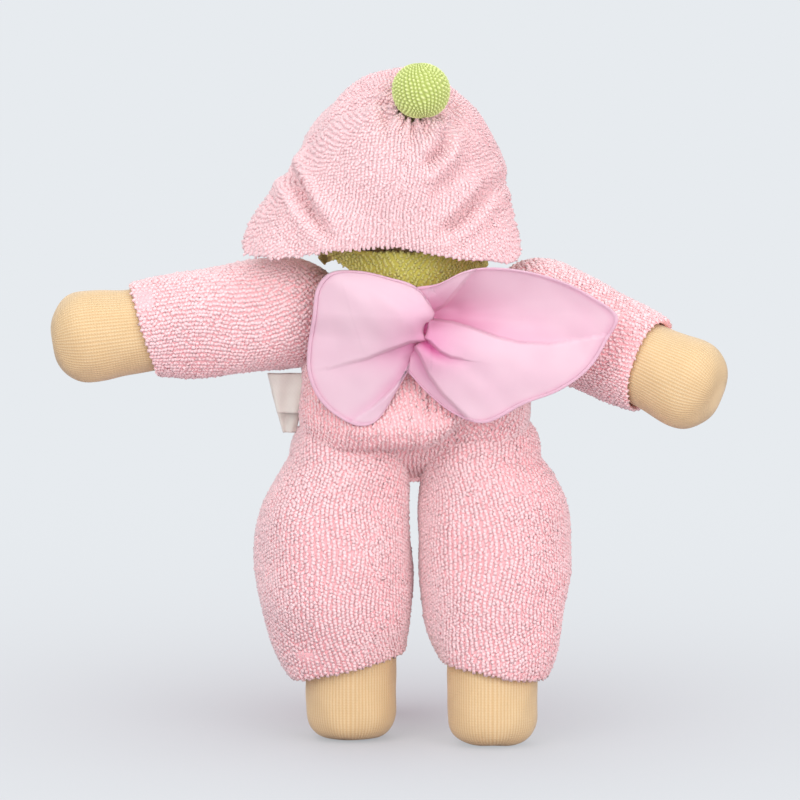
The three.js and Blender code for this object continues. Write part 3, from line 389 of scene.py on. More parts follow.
class Cloth:
    """A surface sampled on a grid of points. Rows run along it, and columns across it or all the way round."""

    def __init__(self, points, closed=False, outwards=1.0):
        self.points = points
        self.closed = closed
        self.outwards = outwards
        wrapped = np.roll(points, -1, 1) - np.roll(points, 1, 1) if closed else np.gradient(points, axis=1)
        self.along = unit(np.gradient(points, axis=0))
        self.across = unit(wrapped)
        self.normals = outwards * unit(np.cross(self.along, self.across))

    def moved(self, distance):
        """The same cloth moved along its normals by a distance, which may vary over the grid."""
        distance = np.broadcast_to(distance, self.points.shape[:2])
        return Cloth(self.points + self.normals * distance[..., None], self.closed, self.outwards)

    def at(self, u, v):
        """Points, normals and directions along and across at shares u and v, between the grid's points."""
        rows, columns = self.points.shape[:2]
        row = np.clip(u, 0, 1) * (rows - 1)
        column = (v % 1) * columns if self.closed else np.clip(v, 0, 1) * (columns - 1)
        i = np.minimum(row.astype(int), rows - 2)
        j = column.astype(int) if self.closed else np.minimum(column.astype(int), columns - 2)
        k = (j + 1) % columns
        p, q = (row - i)[:, None], (column - j)[:, None]

        def mix(values):
            low = values[i, j] * (1 - q) + values[i, k] * q
            high = values[i + 1, j] * (1 - q) + values[i + 1, k] * q
            return low * (1 - p) + high * p

        return mix(self.points), unit(mix(self.normals)), unit(mix(self.along)), unit(mix(self.across))


def closed_form(points):
    """The cloth of a closed form, whose columns go all the way round."""
    return Cloth(points, closed=True, outwards=-1.0)


def seen(points):
    """Where points lie as seen from the back at the view's rise: across, and height in the picture."""
    return joined(points[..., 0], math.cos(VIEW_RISE) * points[..., 2] - math.sin(VIEW_RISE) * points[..., 1])


def true_height(height, y):
    """The height of a point that is seen from the back at a height in the picture."""
    return (height + math.sin(VIEW_RISE) * y) / math.cos(VIEW_RISE)


def traced(line, count):
    """A number of points along a line that is given by its corners."""
    line = np.array(line, float)
    steps = np.linspace(0, len(line) - 1, count)
    return joined(*(np.interp(steps, np.arange(len(line)), line[:, i]) for i in range(2)))


def creased(cloth, creases, turned=(0.0, 0.35)):
    """Presses creases into cloth that faces the back, each a groove along a line with a low lip on both sides.
    turned says how far the cloth may face away before a crease fades out."""
    flat, count = seen(cloth.points), 40
    facing = ease(cloth.normals[..., 1], *turned)
    change = np.zeros(flat.shape[:2])
    for line, width, depth in creases:
        gap = np.linalg.norm(flat[:, :, None] - traced(line, count), axis=-1)
        distance = gap.min(-1)
        fade = np.sin(np.pi * (gap.argmin(-1) + 2) / (count + 3)) ** 0.6
        from_lip = (distance - 2.2 * width) / (1.2 * width)
        groove = -np.exp(-((distance / width) ** 2)) + CREASE_LIP * np.exp(-(from_lip**2))
        change += depth * fade * groove * facing
    return cloth.moved(change)


def seated(cloth):
    """The torso with the cloth tucked in below the seat's edge, where the legs' tops show, and bulging above it."""
    points = cloth.points.copy()
    height = seen(points)[..., 1]
    edge, tuck, bulge = (np.interp(points[..., 0], SEAT_EDGE[:, 0], SEAT_EDGE[:, i]) for i in (1, 2, 3))
    behind = ease(points[..., 1], 2.0, 11.0)
    above = np.exp(-(((height - edge - 3.5) / 4.5) ** 2))
    points[..., 1] += behind * (bulge * above - tuck * ease(edge - height, -0.6, 3.0))
    return Cloth(points, cloth.closed, cloth.outwards)


def soft_noise(points, size, seed):
    """Smooth unevenness over points, mostly within 1 of 0: the sum of a few waves in seeded directions."""
    random = np.random.default_rng(seed)
    waves = 9
    direction = unit(random.normal(size=(waves, 3))) * (2 * np.pi / size) * random.uniform(0.7, 1.4, (waves, 1))
    phase = random.uniform(0, 2 * np.pi, waves)
    return np.sin(points @ direction.T + phase).sum(-1) / math.sqrt(waves)


# Meshes


def mesh_object(name, points, quads, triangles=None):
    """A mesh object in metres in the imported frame, from points in millimetres."""
    triangles = np.zeros((0, 3), int) if triangles is None else triangles
    corners = np.concatenate([np.ravel(quads), np.ravel(triangles)]).astype(np.int32)
    sizes = np.concatenate([np.full(len(quads), 4), np.full(len(triangles), 3)])
    mesh = bpy.data.meshes.new(name)
    mesh.vertices.add(len(points))
    mesh.vertices.foreach_set("co", ((points + SHIFT) * MM).astype(np.float32).ravel())
    mesh.loops.add(len(corners))
    mesh.loops.foreach_set("vertex_index", corners)
    mesh.polygons.add(len(sizes))
    mesh.polygons.foreach_set("loop_start", (np.cumsum(sizes) - sizes).astype(np.int32))
    mesh.polygons.foreach_set("use_smooth", np.full(len(sizes), True))
    mesh.update(calc_edges=True)
    made = bpy.data.objects.new(name, mesh)
    bpy.context.scene.collection.objects.link(made)
    return made


def set_uv(made, name, places):
    """Gives a mesh a UV map from one (u, v) pair for each corner of its faces."""
    layer = made.data.uv_layers.new(name=name)
    layer.uv.foreach_set("vector", places.astype(np.float32).ravel())


def set_value(made, name, values):
    """Gives each point of a mesh one number, for its material to read."""
    layer = made.data.attributes.new(name, "FLOAT", "POINT")
    layer.data.foreach_set("value", np.ascontiguousarray(values, np.float32).ravel())


def grid_quads(rows, columns, closed, outwards):
    """The four corners of each cell of a grid, and each corner's place on the grid without wrapping round."""
    across = columns if closed else columns - 1
    i, j = np.meshgrid(np.arange(rows - 1), np.arange(across), indexing="ij")
    places = np.stack([i.ravel(), j.ravel()], 1)[:, None] + np.array([[0, 0], [1, 0], [1, 1], [0, 1]])
    if outwards < 0:
        places = places[:, ::-1]
    return places[..., 0] * columns + places[..., 1] % columns, places


def merge_doubles(made):
    """Merges points that lie on each other, such as those of a pole, and drops faces without area."""
    mesh = bmesh.new()
    mesh.from_mesh(made.data)
    bmesh.ops.remove_doubles(mesh, verts=mesh.verts, dist=SAME_PLACE)
    mesh.to_mesh(made.data)
    mesh.free()


def count_threads(made, places, cloth, measure):
    """Gives a mesh the UV map Cloth, which counts wales across it and courses along it."""
    rows, columns = cloth.points.shape[:2]
    set_uv(made, "Cloth", places[..., ::-1] / (columns, rows - 1) * measure)


def skin(name, cloth, measure=(1.0, 1.0), values=None):
    """A closed form's surface as a mesh."""
    quads, places = grid_quads(*cloth.points.shape[:2], cloth.closed, cloth.outwards)
    made = mesh_object(name, cloth.points.reshape(-1, 3), quads)
    count_threads(made, places, cloth, measure)
    for key, value in (values or {}).items():
        set_value(made, key, value)
    merge_doubles(made)
    return made


def shell(name, cloth, thickness, measure=(1.0, 1.0)):
    """A sheet with a thickness: two layers, and strips along its free edges that join them."""
    rows, columns = cloth.points.shape[:2]
    front = cloth.moved(thickness / 2).points.reshape(-1, 3)
    back = cloth.moved(-thickness / 2).points.reshape(-1, 3)
    quads, places = grid_quads(rows, columns, cloth.closed, cloth.outwards)
    count = rows * columns
    faces = [quads, quads[:, ::-1] + count]
    corners = [places, places[:, ::-1]]
    edges = [((0, j), (0, j + 1)) for j in range(columns - (not cloth.closed))]
    edges += [((rows - 1, j + 1), (rows - 1, j)) for j in range(columns - (not cloth.closed))]
    if not cloth.closed:
        edges += [((i + 1, 0), (i, 0)) for i in range(rows - 1)]
        edges += [((i, columns - 1), (i + 1, columns - 1)) for i in range(rows - 1)]
    edges = np.array(edges)
    flat = edges[..., 0] * columns + edges[..., 1] % columns
    strip = np.concatenate([flat, flat[:, ::-1] + count], 1)
    strip_places = np.concatenate([edges, edges[:, ::-1]], 1)
    if cloth.outwards < 0:
        strip, strip_places = strip[:, ::-1], strip_places[:, ::-1]
    made = mesh_object(name, np.concatenate([front, back]), np.concatenate([*faces, strip]))
    count_threads(made, np.concatenate([*corners, strip_places]), cloth, measure)
    return made


def tubes(name, paths, radius, sides=3, closed=False):
    """Many tubes of one size in one mesh. paths is an array of (tube, step, 3) and radius one number or one for
    each tube and step. Each ring stands square to its path, and the ends of open tubes are closed."""
    count, steps = paths.shape[:2]
    ahead = unit(np.roll(paths, -1, 1) - np.roll(paths, 1, 1) if closed else np.gradient(paths, axis=1))
    spread = paths.max(1) - paths.min(1)
    least = np.eye(3)[spread.argmin(-1)]
    side = unit(np.cross(ahead, least[:, None]))
    up = np.cross(side, ahead)
    turn = all_round(sides)
    radius = np.broadcast_to(radius, (count, steps))[..., None, None]
    ring = np.cos(turn)[:, None] * side[:, :, None] + np.sin(turn)[:, None] * up[:, :, None]
    points = paths[:, :, None] + radius * ring
    i, j = np.meshgrid(np.arange(steps if closed else steps - 1), np.arange(sides), indexing="ij")
    i, j = i.ravel(), j.ravel()
    k, m = (i + 1) % steps, (j + 1) % sides
    quads = np.stack([i * sides + j, i * sides + m, k * sides + m, k * sides + j], 1)
    base = (np.arange(count) * steps * sides)[:, None, None]
    triangles = None
    if not closed:
        fan = np.arange(1, sides - 1)
        low = np.stack([np.zeros_like(fan), fan + 1, fan], 1)
        high = np.stack([np.zeros_like(fan), fan, fan + 1], 1) + (steps - 1) * sides
        triangles = (np.concatenate([low, high])[None] + base).reshape(-1, 3)
    return mesh_object(name, points.reshape(-1, 3), (quads[None] + base).reshape(-1, 4), triangles)


# Terry loops


def loop_places(cloth, rows=(0.0, 1.0), middle=0.5, column=LOOP_COLUMN, row=LOOP_ROW, sway=1.1):
    """Where loops stand on a cloth: in columns a fixed distance apart that start from a middle line and waver a
    little, as on cloth that was cut flat and sewn. A narrower place holds fewer columns, and each other column is
    shifted by half a row. The columns nearest to an open cloth's sides run along them, so that seams are filled."""
    jitter = 0.08
    random = np.random.default_rng(cloth.points.shape[0])
    points = cloth.points
    length = np.concatenate([[0], np.cumsum(steps_between(points, 0).mean(1))])
    ring = np.diff(points, axis=1, append=points[:, :1]) if cloth.closed else np.diff(points, axis=1)
    width = np.pad(np.cumsum(np.linalg.norm(ring, axis=-1), 1), ((0, 0), (1, 0)))
    share = np.linspace(0, 1, len(points))
    columns = np.linspace(0, 1, width.shape[1])
    low, high = np.interp(rows, share, length)
    most = int(width.max() / column) + 2
    level, number = np.meshgrid(np.arange(low + row / 4, high, row), np.arange(-most, most + 1), indexing="ij")
    level, number = level.ravel(), number.ravel()
    level = level + (number % 2) * row / 2 + random.normal(0, jitter * row, level.shape)
    waver = sway * soft_noise(joined(level, number * column, 0 * level), 30, 11)
    side = number * column + waver + random.normal(0, jitter * column, level.shape)
    u = np.interp(level, length, share)
    nearest = np.rint(u * (len(points) - 1)).astype(int)
    v = np.full(u.shape, -1.0)
    for i in np.unique(nearest):
        here = nearest == i
        whole = width[i, -1]
        place = side[here] + np.interp(middle, columns, width[i])
        if cloth.closed:
            found = np.interp(place % whole, width[i], columns)
            v[here] = np.where(np.abs(side[here]) < whole / 2 + 0.3 * column, found, -1.0)
        else:
            beside = (place > -0.75 * column) & (place < whole + 0.75 * column)
            found = np.interp(np.clip(place, LOOP_FROM_SIDE, whole - LOOP_FROM_SIDE), width[i], columns)
            v[here] = np.where(beside, found, -1.0)
    kept = (v >= 0) & (level > low) & (level < high)
    return u[kept], v[kept]


def loops(
    name, cloth, places, height=LOOP_HEIGHT, foot=LOOP_FOOT, yarn=LOOP_YARN, lean=0.25, keep=None, edge=None,
):
    """The pile of terry cloth: each loop is a small arch of yarn on two feet that stands along its column, turned,
    leaned and sized a little unevenly. The yarn is a three-sided tube, thicker at the top of the arch. keep
    chooses loops by their place, and edge leans them over the end of the cloth."""
    random = np.random.default_rng(len(places[0]))
    u, v = places
    base, normal, along, across = cloth.at(u, v)
    if keep is not None:
        chosen = keep(base)
        u, v, base, normal, along, across = (x[chosen] for x in (u, v, base, normal, along, across))
    count = len(base)
    along = unit(along - normal * (along * normal).sum(-1, keepdims=True))
    across = np.cross(normal, along)
    turn = random.choice([-0.4, 0.4], (count, 1)) + random.normal(0, 0.2, (count, 1))
    plane = np.cos(turn) * along + np.sin(turn) * across
    tall = height * random.uniform(0.86, 1.1, (count, 1)) * (1 + 0.4 * (random.uniform(0, 1, (count, 1)) < 0.05))
    droop = lean * (random.normal(0, 0.7, (count, 1)) * across + random.normal(0.3, 0.5, (count, 1)) * along)
    if edge is not None:
        droop = droop + edge(u)[:, None] * along
    steps, sides = 5, 3
    angle = np.linspace(0, np.pi, steps)
    sine, cosine = np.sin(angle), np.cos(angle)
    wide = foot / 2 * random.uniform(0.85, 1.15, (count, 1))
    out = -cosine * (1 + 0.4 * sine) * wide
    rise = sine * tall - LOOP_SUNK
    paths = base[:, None] + out[..., None] * plane[:, None] + rise[..., None] * normal[:, None]
    paths = paths + (sine**2)[None, :, None] * droop[:, None]
    thick = yarn * (0.72 + 0.34 * sine) * random.uniform(0.9, 1.12, (count, 1))
    made = tubes(name, paths, thick, sides)
    set_value(made, "rise", np.repeat(np.tile(sine, count), sides))
    set_value(made, "tint", np.repeat(random.uniform(0, 1, count), steps * sides))
    pack_uv(made, count, steps, sides)
    return made


def pack_uv(made, count, steps, sides):
    """A UV map in which each of many equal tubes fills its own small square of the picture."""
    across = math.ceil(math.sqrt(count))
    cell = np.stack([np.arange(count) % across, np.arange(count) // across], 1)
    i, j = np.meshgrid(np.arange(steps - 1), np.arange(sides), indexing="ij")
    quad = np.stack([i.ravel(), j.ravel()], 1)[:, None] + np.array([[0, 0], [0, 1], [1, 1], [1, 0]])
    quad = quad / np.array([steps - 1, sides])
    low = np.array([[0, 0], [0.08, 0], [0.08, 1]])
    ends = np.stack([low, 1 - low])
    margin = 0.12
    inside = margin + (1 - 2 * margin) * quad
    faces = (cell[:, None, None] + inside[None]) / across
    caps = (cell[:, None, None] + margin + (1 - 2 * margin) * ends[None]) / across
    set_uv(made, "OFBake", np.concatenate([faces.reshape(-1, 2), caps.reshape(-1, 2)]))


# Materials


class Value:
    """A shader socket that can be used like a number: each operator adds its Math node."""

    def __init__(self, nodes, socket):
        self.nodes = nodes
        self.socket = socket

    def __add__(self, other):
        return self.nodes.math("ADD", self, other)

    def __sub__(self, other):
        return self.nodes.math("SUBTRACT", self, other)

    def __rsub__(self, other):
        return self.nodes.math("SUBTRACT", other, self)

    def __mul__(self, other):
        return self.nodes.math("MULTIPLY", self, other)

    def __pow__(self, other):
        return self.nodes.math("POWER", self, other)

    __radd__ = __add__
    __rmul__ = __mul__


class Nodes:
    """The nodes of a material or of the world, cleared, and a method that adds any node."""

    def __init__(self, owner):
        owner.use_nodes = True
        self.tree = owner.node_tree
        self.tree.nodes.clear()

    def node(self, kind, settings=None, socket=0, inputs=(), **named):
        """Adds a node of a type. Its settings come first, then the values or links of its sockets."""
        made = self.tree.nodes.new(kind)
        for key, value in (settings or {}).items():
            setattr(made, key, value)
        for key, value in [*enumerate(inputs), *((k.replace("_", " "), v) for k, v in named.items())]:
            if isinstance(value, Value):
                self.tree.links.new(value.socket, made.inputs[key])
            elif value is not None:
                made.inputs[key].default_value = value
        return made if socket is None else Value(self, made.outputs[socket])

    def math(self, operation, *values):
        return self.node("ShaderNodeMath", {"operation": operation}, inputs=values)

    def ray(self, kind):
        """1 for rays of that kind."""
        return self.node("ShaderNodeLightPath", socket=f"Is {kind} Ray")


class Finish(Nodes):
    """One material and its Principled shader."""

    def __init__(self, name, **constants):
        self.material = bpy.data.materials.new(name)
        super().__init__(self.material)
        self.shader = self.node("ShaderNodeBsdfPrincipled", socket=None, **constants)
        self.surface = Value(self, self.shader.outputs[0])
        self.output = self.node("ShaderNodeOutputMaterial", socket=None, Surface=self.surface)

    def set(self, name, value):
        """Feeds one of the Principled shader's inputs."""
        self.tree.links.new(value.socket, self.shader.inputs[name])

    def mix(self, share, *colours):
        """A colour between two others, each a link or a colour as it shows on a screen. They go to the sockets 6
        and 7 of the Mix node."""
        colours = [colour if isinstance(colour, Value) else rgb(*colour) for colour in colours]
        inputs = (share, *[None] * 5, *colours)
        return self.node("ShaderNodeMix", {"data_type": "RGBA"}, socket=2, inputs=inputs)

    def place(self):
        """The place on the object, in millimetres."""
        spot = self.node("ShaderNodeTexCoord", socket="Object")
        return self.node("ShaderNodeVectorMath", {"operation": "SCALE"}, Vector=spot, Scale=1 / MM)

    def uv(self):
        """Wales across and courses along, as two numbers."""
        both = self.node("ShaderNodeUVMap", {"uv_map": "Cloth"})
        parts = self.node("ShaderNodeSeparateXYZ", socket=None, Vector=both)
        return Value(self, parts.outputs[0]), Value(self, parts.outputs[1])

    def attribute(self, name):
        return self.node("ShaderNodeAttribute", {"attribute_name": name}, socket="Fac")

    def noise(self, size, detail=2.0):
        """Cloudy noise from 0 to 1 whose spots are about that many millimetres wide."""
        return self.node("ShaderNodeTexNoise", Vector=self.place(), Scale=1 / size, Detail=detail, Roughness=0.5)

    def wave(self, count):
        """A ridge from 0 to 1 at each whole step of a count."""
        return self.math("COSINE", count * (2 * math.pi)) * 0.5 + 0.5

    def see_through(self, share, colour):
        """Lets that share of the light pass through, as thin cloth does."""
        self.blend(share, self.node("ShaderNodeBsdfTranslucent", Color=colour))

    def blend(self, share, other):
        """Gives that share of the surface another shader."""
        both = self.node("ShaderNodeMixShader", inputs=(share, self.surface, other))
        self.tree.links.new(both.socket, self.output.inputs["Surface"])

    def bump(self, height, distance, strength):
        """Feeds the shader's normal from a height in millimetres."""
        self.set("Normal", self.node("ShaderNodeBump", Height=height, Distance=distance * MM, Strength=strength))


def rgb(red, green, blue):
    """A colour as it shows on a screen, from 0 to 255, in the linear light that shaders use."""
    def linear(value):
        share = value / 255
        return share / 12.92 if share <= 0.04045 else ((share + 0.055) / 1.055) ** 2.4
    return (linear(red), linear(green), linear(blue), 1.0)


def terry_finish(name, root, middle, top):
    """Loop pile: painted shade at the loops' feet, painted light on their pale tops, and a little unevenness from
    loop to loop.
    """
    made = Finish(name, Roughness=0.9, Sheen_Weight=0.4, Sheen_Roughness=0.5)
    # Painted shade and light: the loops' feet take the deeper colour and their tops the pale one
    colour = made.mix(made.attribute("rise") ** 1.5, root, top)
    shade = made.attribute("tint") * 0.45 + made.noise(9, 3.0) * 0.5
    made.set("Base Color", made.mix(shade, middle, colour))
    made.bump(made.noise(0.16), 0.06, 0.6)
    return made.material


def grained_finish(name, dark, light, roughness, size, detail, relief):
    """Two colours and a relief in small grains, as on the woven ground under the loops, and on twisted thread."""
    made = Finish(name, Roughness=roughness, Sheen_Weight=0.2)
    grain = made.noise(size, detail)
    made.set("Base Color", made.mix(grain, dark, light))
    made.bump(grain, relief, 0.8)
    return made.material


def jersey_finish(name, groove, face, glow):
    """Fine plain knitting: wales of small V stitches, with painted shade between the wales and a little painted
    light on the stitches. Where the wales run together, the attribute open_wales is 0 and the stitches fade."""
    made = Finish(name, Roughness=0.85, Sheen_Weight=0.2, Sheen_Roughness=0.5)
    wale, course = made.uv()
    side = made.math("ABSOLUTE", made.math("FRACT", wale) - 0.5)
    ridge = made.wave(wale + 0.5)
    stitch = made.wave(course + side * 1.1)
    height = ridge * 0.6 + stitch * ridge * 0.55
    face_colour = made.mix(made.noise(6.0, 3.0), face, glow)
    open_wales = made.attribute("open_wales")
    # Painted shade between the wales and painted light on the stitches
    lit = 0.75 + open_wales * (ridge * 0.65 + stitch * 0.2 - 0.65)
    made.set("Base Color", made.mix(lit, groove, face_colour))
    made.bump(height * open_wales + made.noise(0.25) * 0.25, 0.16, 0.9)
    return made.material


def silk_finish(name, layered_and_shaded, deep, pale):
    """Thin silk: smooth, softly glossy, with light that comes through it, and a hair-fine weave. It is deeper in
    colour at the gather and in the folds' hollows, as painted shade, and in the hem, where it lies double."""
    made = Finish(name, Roughness=0.42, Sheen_Weight=0.35, Sheen_Roughness=0.35)
    single = made.mix(made.noise(14), deep, pale)
    # Painted shade: the deep colour at the gather and in the folds' hollows; in the hem it is the silk lying double
    colour = made.mix(made.attribute("layers_and_shade"), single, layered_and_shaded)
    made.set("Base Color", colour)
    made.bump(made.noise(0.22, 1.0), 0.02, 0.5)
    made.see_through(0.3, colour)
    return made.material


def ribbon_finish(name):
    """Woven cotton tape: a fine crossing weave in an unbleached white."""
    made = Finish(name, Roughness=0.8, Sheen_Weight=0.15)
    across, along = made.uv()
    warp, weft = across * 26, along * 30
    weave = made.wave(warp + 0.5) * made.wave(weft) + made.wave(warp) * made.wave(weft + 0.5)
    shade = weave * 0.6 + made.noise(3.0) * 0.4
    made.set("Base Color", made.mix(shade, (214, 207, 196), (242, 237, 228)))
    made.bump(weave, 0.1, 0.7)
    return made.material


def knit_finish(name, deep, light):
    """Coarse knitting: painted shade in the hollows and painted light on the pale, slightly fuzzy stitches."""
    made = Finish(name, Roughness=0.9, Sheen_Weight=0.25)
    fuzz = made.noise(0.3, 3.0)
    # Painted shade in the hollows and painted light on the stitches' tops
    made.set("Base Color", made.mix(made.attribute("rise") * 0.85 + fuzz * 0.3, deep, light))
    made.bump(fuzz, 0.15, 0.8)
    return made.material


def plastic_finish(name):
    """Frosted plastic of the rattle's case and beads, with faint scuffs."""
    made = Finish(name, Roughness=0.35, Transmission_Weight=0.6, IOR=1.5)
    scuff = made.noise(1.2, 4.0)
    made.set("Base Color", made.mix(scuff, (226, 232, 238), (244, 247, 250)))
    made.set("Roughness", scuff * 0.3 + 0.25)
    return made.material


# Colours go from deep to pale. Woven and thread give roughness, the grains' size and detail, and the relief.
WOVEN = (0.95, 0.9, 3.0, 0.5)
THREAD = (0.5, 0.3, 2.0, 0.08)
# The loops' first colours are painted shade at their feet and their last painted light on their tops; the grounds
# under them are deepened as painted shade between the loops
PINK_LOOPS = terry_finish("pink_terry_loops", (254, 186, 191), (255, 211, 214), (255, 225, 226))
PINK_GROUND = grained_finish("pink_terry_ground", (254, 182, 187), (255, 199, 203), *WOVEN)
OLIVE_LOOPS = terry_finish("olive_terry_loops", (188, 180, 78), (202, 195, 100), (224, 219, 138))
OLIVE_GROUND = grained_finish("olive_terry_ground", (190, 180, 78), (204, 196, 96), *WOVEN)
# The jerseys' first colour is painted shade between the wales
PEACH = jersey_finish("peach_jersey", (214, 174, 122), (230, 199, 152), (238, 213, 172))
PALE_UNDERSIDE = jersey_finish("pink_jersey_side", (238, 190, 196), (250, 218, 220), (255, 232, 232))
# The silk's first colour is painted shade at the gather and in the folds, and the colour of the hem's double silk
LILAC = silk_finish("lilac_silk", (236, 128, 186), (247, 211, 226), (252, 226, 235))
COTTON = ribbon_finish("white_cotton")
# The knit's first colour is painted shade in the hollows, its second painted light on the stitches
GREEN = knit_finish("green_knit", (146, 160, 54), (236, 246, 168))
BROWN = grained_finish("brown_thread", (70, 50, 38), (112, 86, 66), *THREAD)
ROSE = grained_finish("rose_thread", (178, 84, 90), (216, 128, 130), *THREAD)
PLASTIC = plastic_finish("clear_plastic")


def dress(made, material, slot, body=None, blend=None, replaces=()):
    """Gives a piece its finish, the body that it follows, and what it replaces. The slot is not used. A piece
    between two bodies follows neither: only its place is baked in.
    """
    made.data.materials.clear()
    made.data.materials.append(material)
    if blend:
        first, second, start, end = blend
        tuple((start + SHIFT) * MM)
        tuple((end + SHIFT) * MM)
        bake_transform(made)
    else:
        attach(made, body)
    if replaces:
        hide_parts(*replaces)
    return made


# Forms that are shared by the cloth, its pile and its neighbours


class Limb:
    """A limb's own axes: z along it from its joint, and two across it."""

    def __init__(self, pivot, along, across):
        self.pivot = np.array(pivot, float)
        z = unit(np.array(along, float))
        x = np.array(across, float)
        x = unit(x - z * (x @ z))
        self.axes = np.stack([x, np.cross(z, x), z])

    def out(self, points):
        return points @ self.axes + self.pivot

    def into(self, points):
        return (points - self.pivot) @ self.axes.T


def slanted(points, end, slope, reach):
    """Puts the end of a form on a slant, easing in over a reach before it."""
    middle = points[..., 0].mean(1, keepdims=True)
    near = ease(points[..., 2], end - reach, end)
    moved = points.copy()
    moved[..., 2] += slope * (points[..., 0] - middle) * near
    return moved


def depth_in(points, section, low, high, low_cap, high_cap, power):
    """How deep points lie inside a stuffed form, in millimetres, and below 0 outside."""
    place = np.clip(points[..., 2], low + 0.01, high - 0.01)
    x, y, w, d = np.moveaxis(section(place), -1, 0)
    share = np.ones_like(place)
    for from_end, cap in ((place - low, low_cap), (high - place, high_cap)):
        if cap:
            length, cap_power = cap
            t = np.clip(1 - from_end / length, 0, 1)
            share = share * (1 - t**cap_power) ** (1 / cap_power)
    across, depth = np.abs((points[..., 0] - x) / w), np.abs((points[..., 1] - y) / d)
    radius = (across**power + depth**power) ** (1 / power)
    inside = (share - radius) * np.minimum(w, d)
    beyond = np.abs(points[..., 2] - place)
    return np.where(beyond > 0.02, -beyond, inside)


torso_size = smooth(TORSO)


def torso_section(place):
    w, d, y = np.moveaxis(torso_size(place), -1, 0)
    return joined(0, y, w, d)


def depth_in_torso(points):
    return depth_in(points, torso_section, *TORSO_RANGE, *TORSO_CAPS, TORSO_POWER)


def torso_back(x, z):
    """How far back the torso reaches at a place."""
    w, d, y = np.moveaxis(torso_size(z), -1, 0)
    share = np.minimum(1, np.abs(x) / w)
    return y + d * (1 - share**TORSO_POWER) ** (1 / TORSO_POWER)


def arm_limb(side):
    sign, drop, sweep = SIDES[side], math.radians(ARM_DROP[side]), math.radians(ARM_SWEEP[side])
    along = (sign * math.cos(drop) * math.cos(sweep), math.cos(drop) * math.sin(sweep), -math.sin(drop))
    return Limb((sign * SHOULDER_X, 0, SHOULDER_Z), along, (0, 0, 1))


def by_length(rows, length):
    """The section of an arm whose rows give half height and half depth by share of its length."""
    size = smooth([[share * length, *values] for share, *values in rows])

    def section(place):
        w, d = np.moveaxis(size(place), -1, 0)
        return joined(0, 0, w, d)

    return section


def leg_limb(side):
    return Limb((SIDES[side] * HIP_X, 0, HIP_Z), (0, 0, -1), (1, 0, 0))


def stance(side, place):
    """How far to the front a leg's middle lies, by depth below the hip."""
    return -FOOT_Y[side] * ease(place, STANCE_START, HIP_Z, quintic=True)


def trouser_section(side):
    size = smooth(TROUSER[side])

    def section(place):
        out, w, d = np.moveaxis(size(place), -1, 0)
        return joined(SIDES[side] * out, stance(side, place), w, d)

    return section


def foot_section(side):
    return lambda place: joined(SIDES[side] * (FOOT_X[side] - HIP_X), stance(side, place), *FOOT_HALF)


def depth_in_limbs(points):
    """How deep points lie inside the nearest sleeve or trouser leg."""
    deepest = np.full(points.shape[:-1], -99.0)
    for side in SIDES:
        length = ARM_LENGTH[side]
        arm = depth_in(
            arm_limb(side).into(points), by_length(SLEEVE, length), -SHOULDER_RADIUS, length * CUFF_AT,
            (SHOULDER_RADIUS, ROUND), None, ROUND,
        )
        leg = depth_in(
            leg_limb(side).into(points), trouser_section(side), -HIP_RADIUS, HEM_AT, (HIP_RADIUS, ROUND), None,
            LEG_POWER,
        )
        deepest = np.maximum(deepest, np.maximum(arm, leg))
    return deepest


# Pieces


def terry_form(name, full, replaces, fill, rows, middle, keep, edge=None, **follows):
    """Terry over a stuffed form: its ground a little below the full surface, and the loops that show on it."""
    ground = full.moved(-GROUND_DEPTH)
    cloth = dress(skin(f"{name}_cloth", ground), PINK_GROUND, "pink_terry", replaces=replaces, **follows)
    pile = loops(f"{name}_pile", ground, loop_places(ground, rows, middle), keep=keep, edge=edge)
    dress(pile, PINK_LOOPS, "pink_terry", **follows)


def jersey_form(name, cloth, wales, body, replaces, floor=None):
    """Plain knitting over a stuffed form: its wales stand up a little as ribs, and fade where they run together."""
    columns = cloth.points.shape[1]
    rib = np.cos(2 * np.pi * wales * np.arange(columns) / columns)
    width = np.linalg.norm(np.roll(cloth.points, -1, 1) - cloth.points, axis=-1).sum(1, keepdims=True)
    share = width / width.max()
    ribs = WALE_HEIGHT / 2 * rib * np.minimum(1, share * 1.1) ** 2
    full = cloth.moved(ribs + 0.12 * soft_noise(cloth.points, 9, 21))
    if floor is not None:
        full.points[..., 2] = np.maximum(full.points[..., 2], floor)
    open_wales = np.broadcast_to(ease(share, 0.12, 0.5), cloth.points.shape[:2])
    courses = steps_between(cloth.points, 0).mean(1).sum() / COURSE
    made = skin(name, full, (wales, courses), {"open_wales": open_wales})
    dress(made, PEACH, "peach_jersey", body, replaces=replaces)


def open_tube(limb, section, root, end, turned_in, power, around, slant, reach, uneven):
    """A stuffed tube with a round root and an open end on a slant, and the share of its rows up to that end's
    edge. uneven holds how far its surface goes up and down, over what distance, and a seed."""
    rows = profile(-root, end, start_cap=(root, ROUND), turned_in=turned_in, wall=HEM_WALL)
    grid = stuffed(section, rows, power, around, TERRY_GRID)
    edge = grid[..., 2].mean(1).argmax() / (len(grid) - 1)
    full = closed_form(limb.out(slanted(grid, end, slant, reach)))
    amount, size, seed = uneven
    return full.moved(amount * soft_noise(full.points, size, seed)), edge


def make_torso():
    """The torso's terry, with its back seam drawn in and the cloth below the seat tucked in."""
    rows = profile(*TORSO_RANGE, start_cap=TORSO_CAPS[0], end_cap=TORSO_CAPS[1])
    full = closed_form(stuffed(torso_section, rows, TORSO_POWER, TORSO_AROUND, TERRY_GRID))
    full = creased(seated(full.moved(0.35 * soft_noise(full.points, 26, 3))), TORSO_CREASES)
    terry_form(
        "torso", full, ("body_front", "body_back_left", "body_back_right", "body_filling"), fill=0.85,
        rows=(0.03, 0.93), middle=0.25, keep=lambda p: depth_in_limbs(p) < HIDDEN_IN_LIMB, body="body",
    )


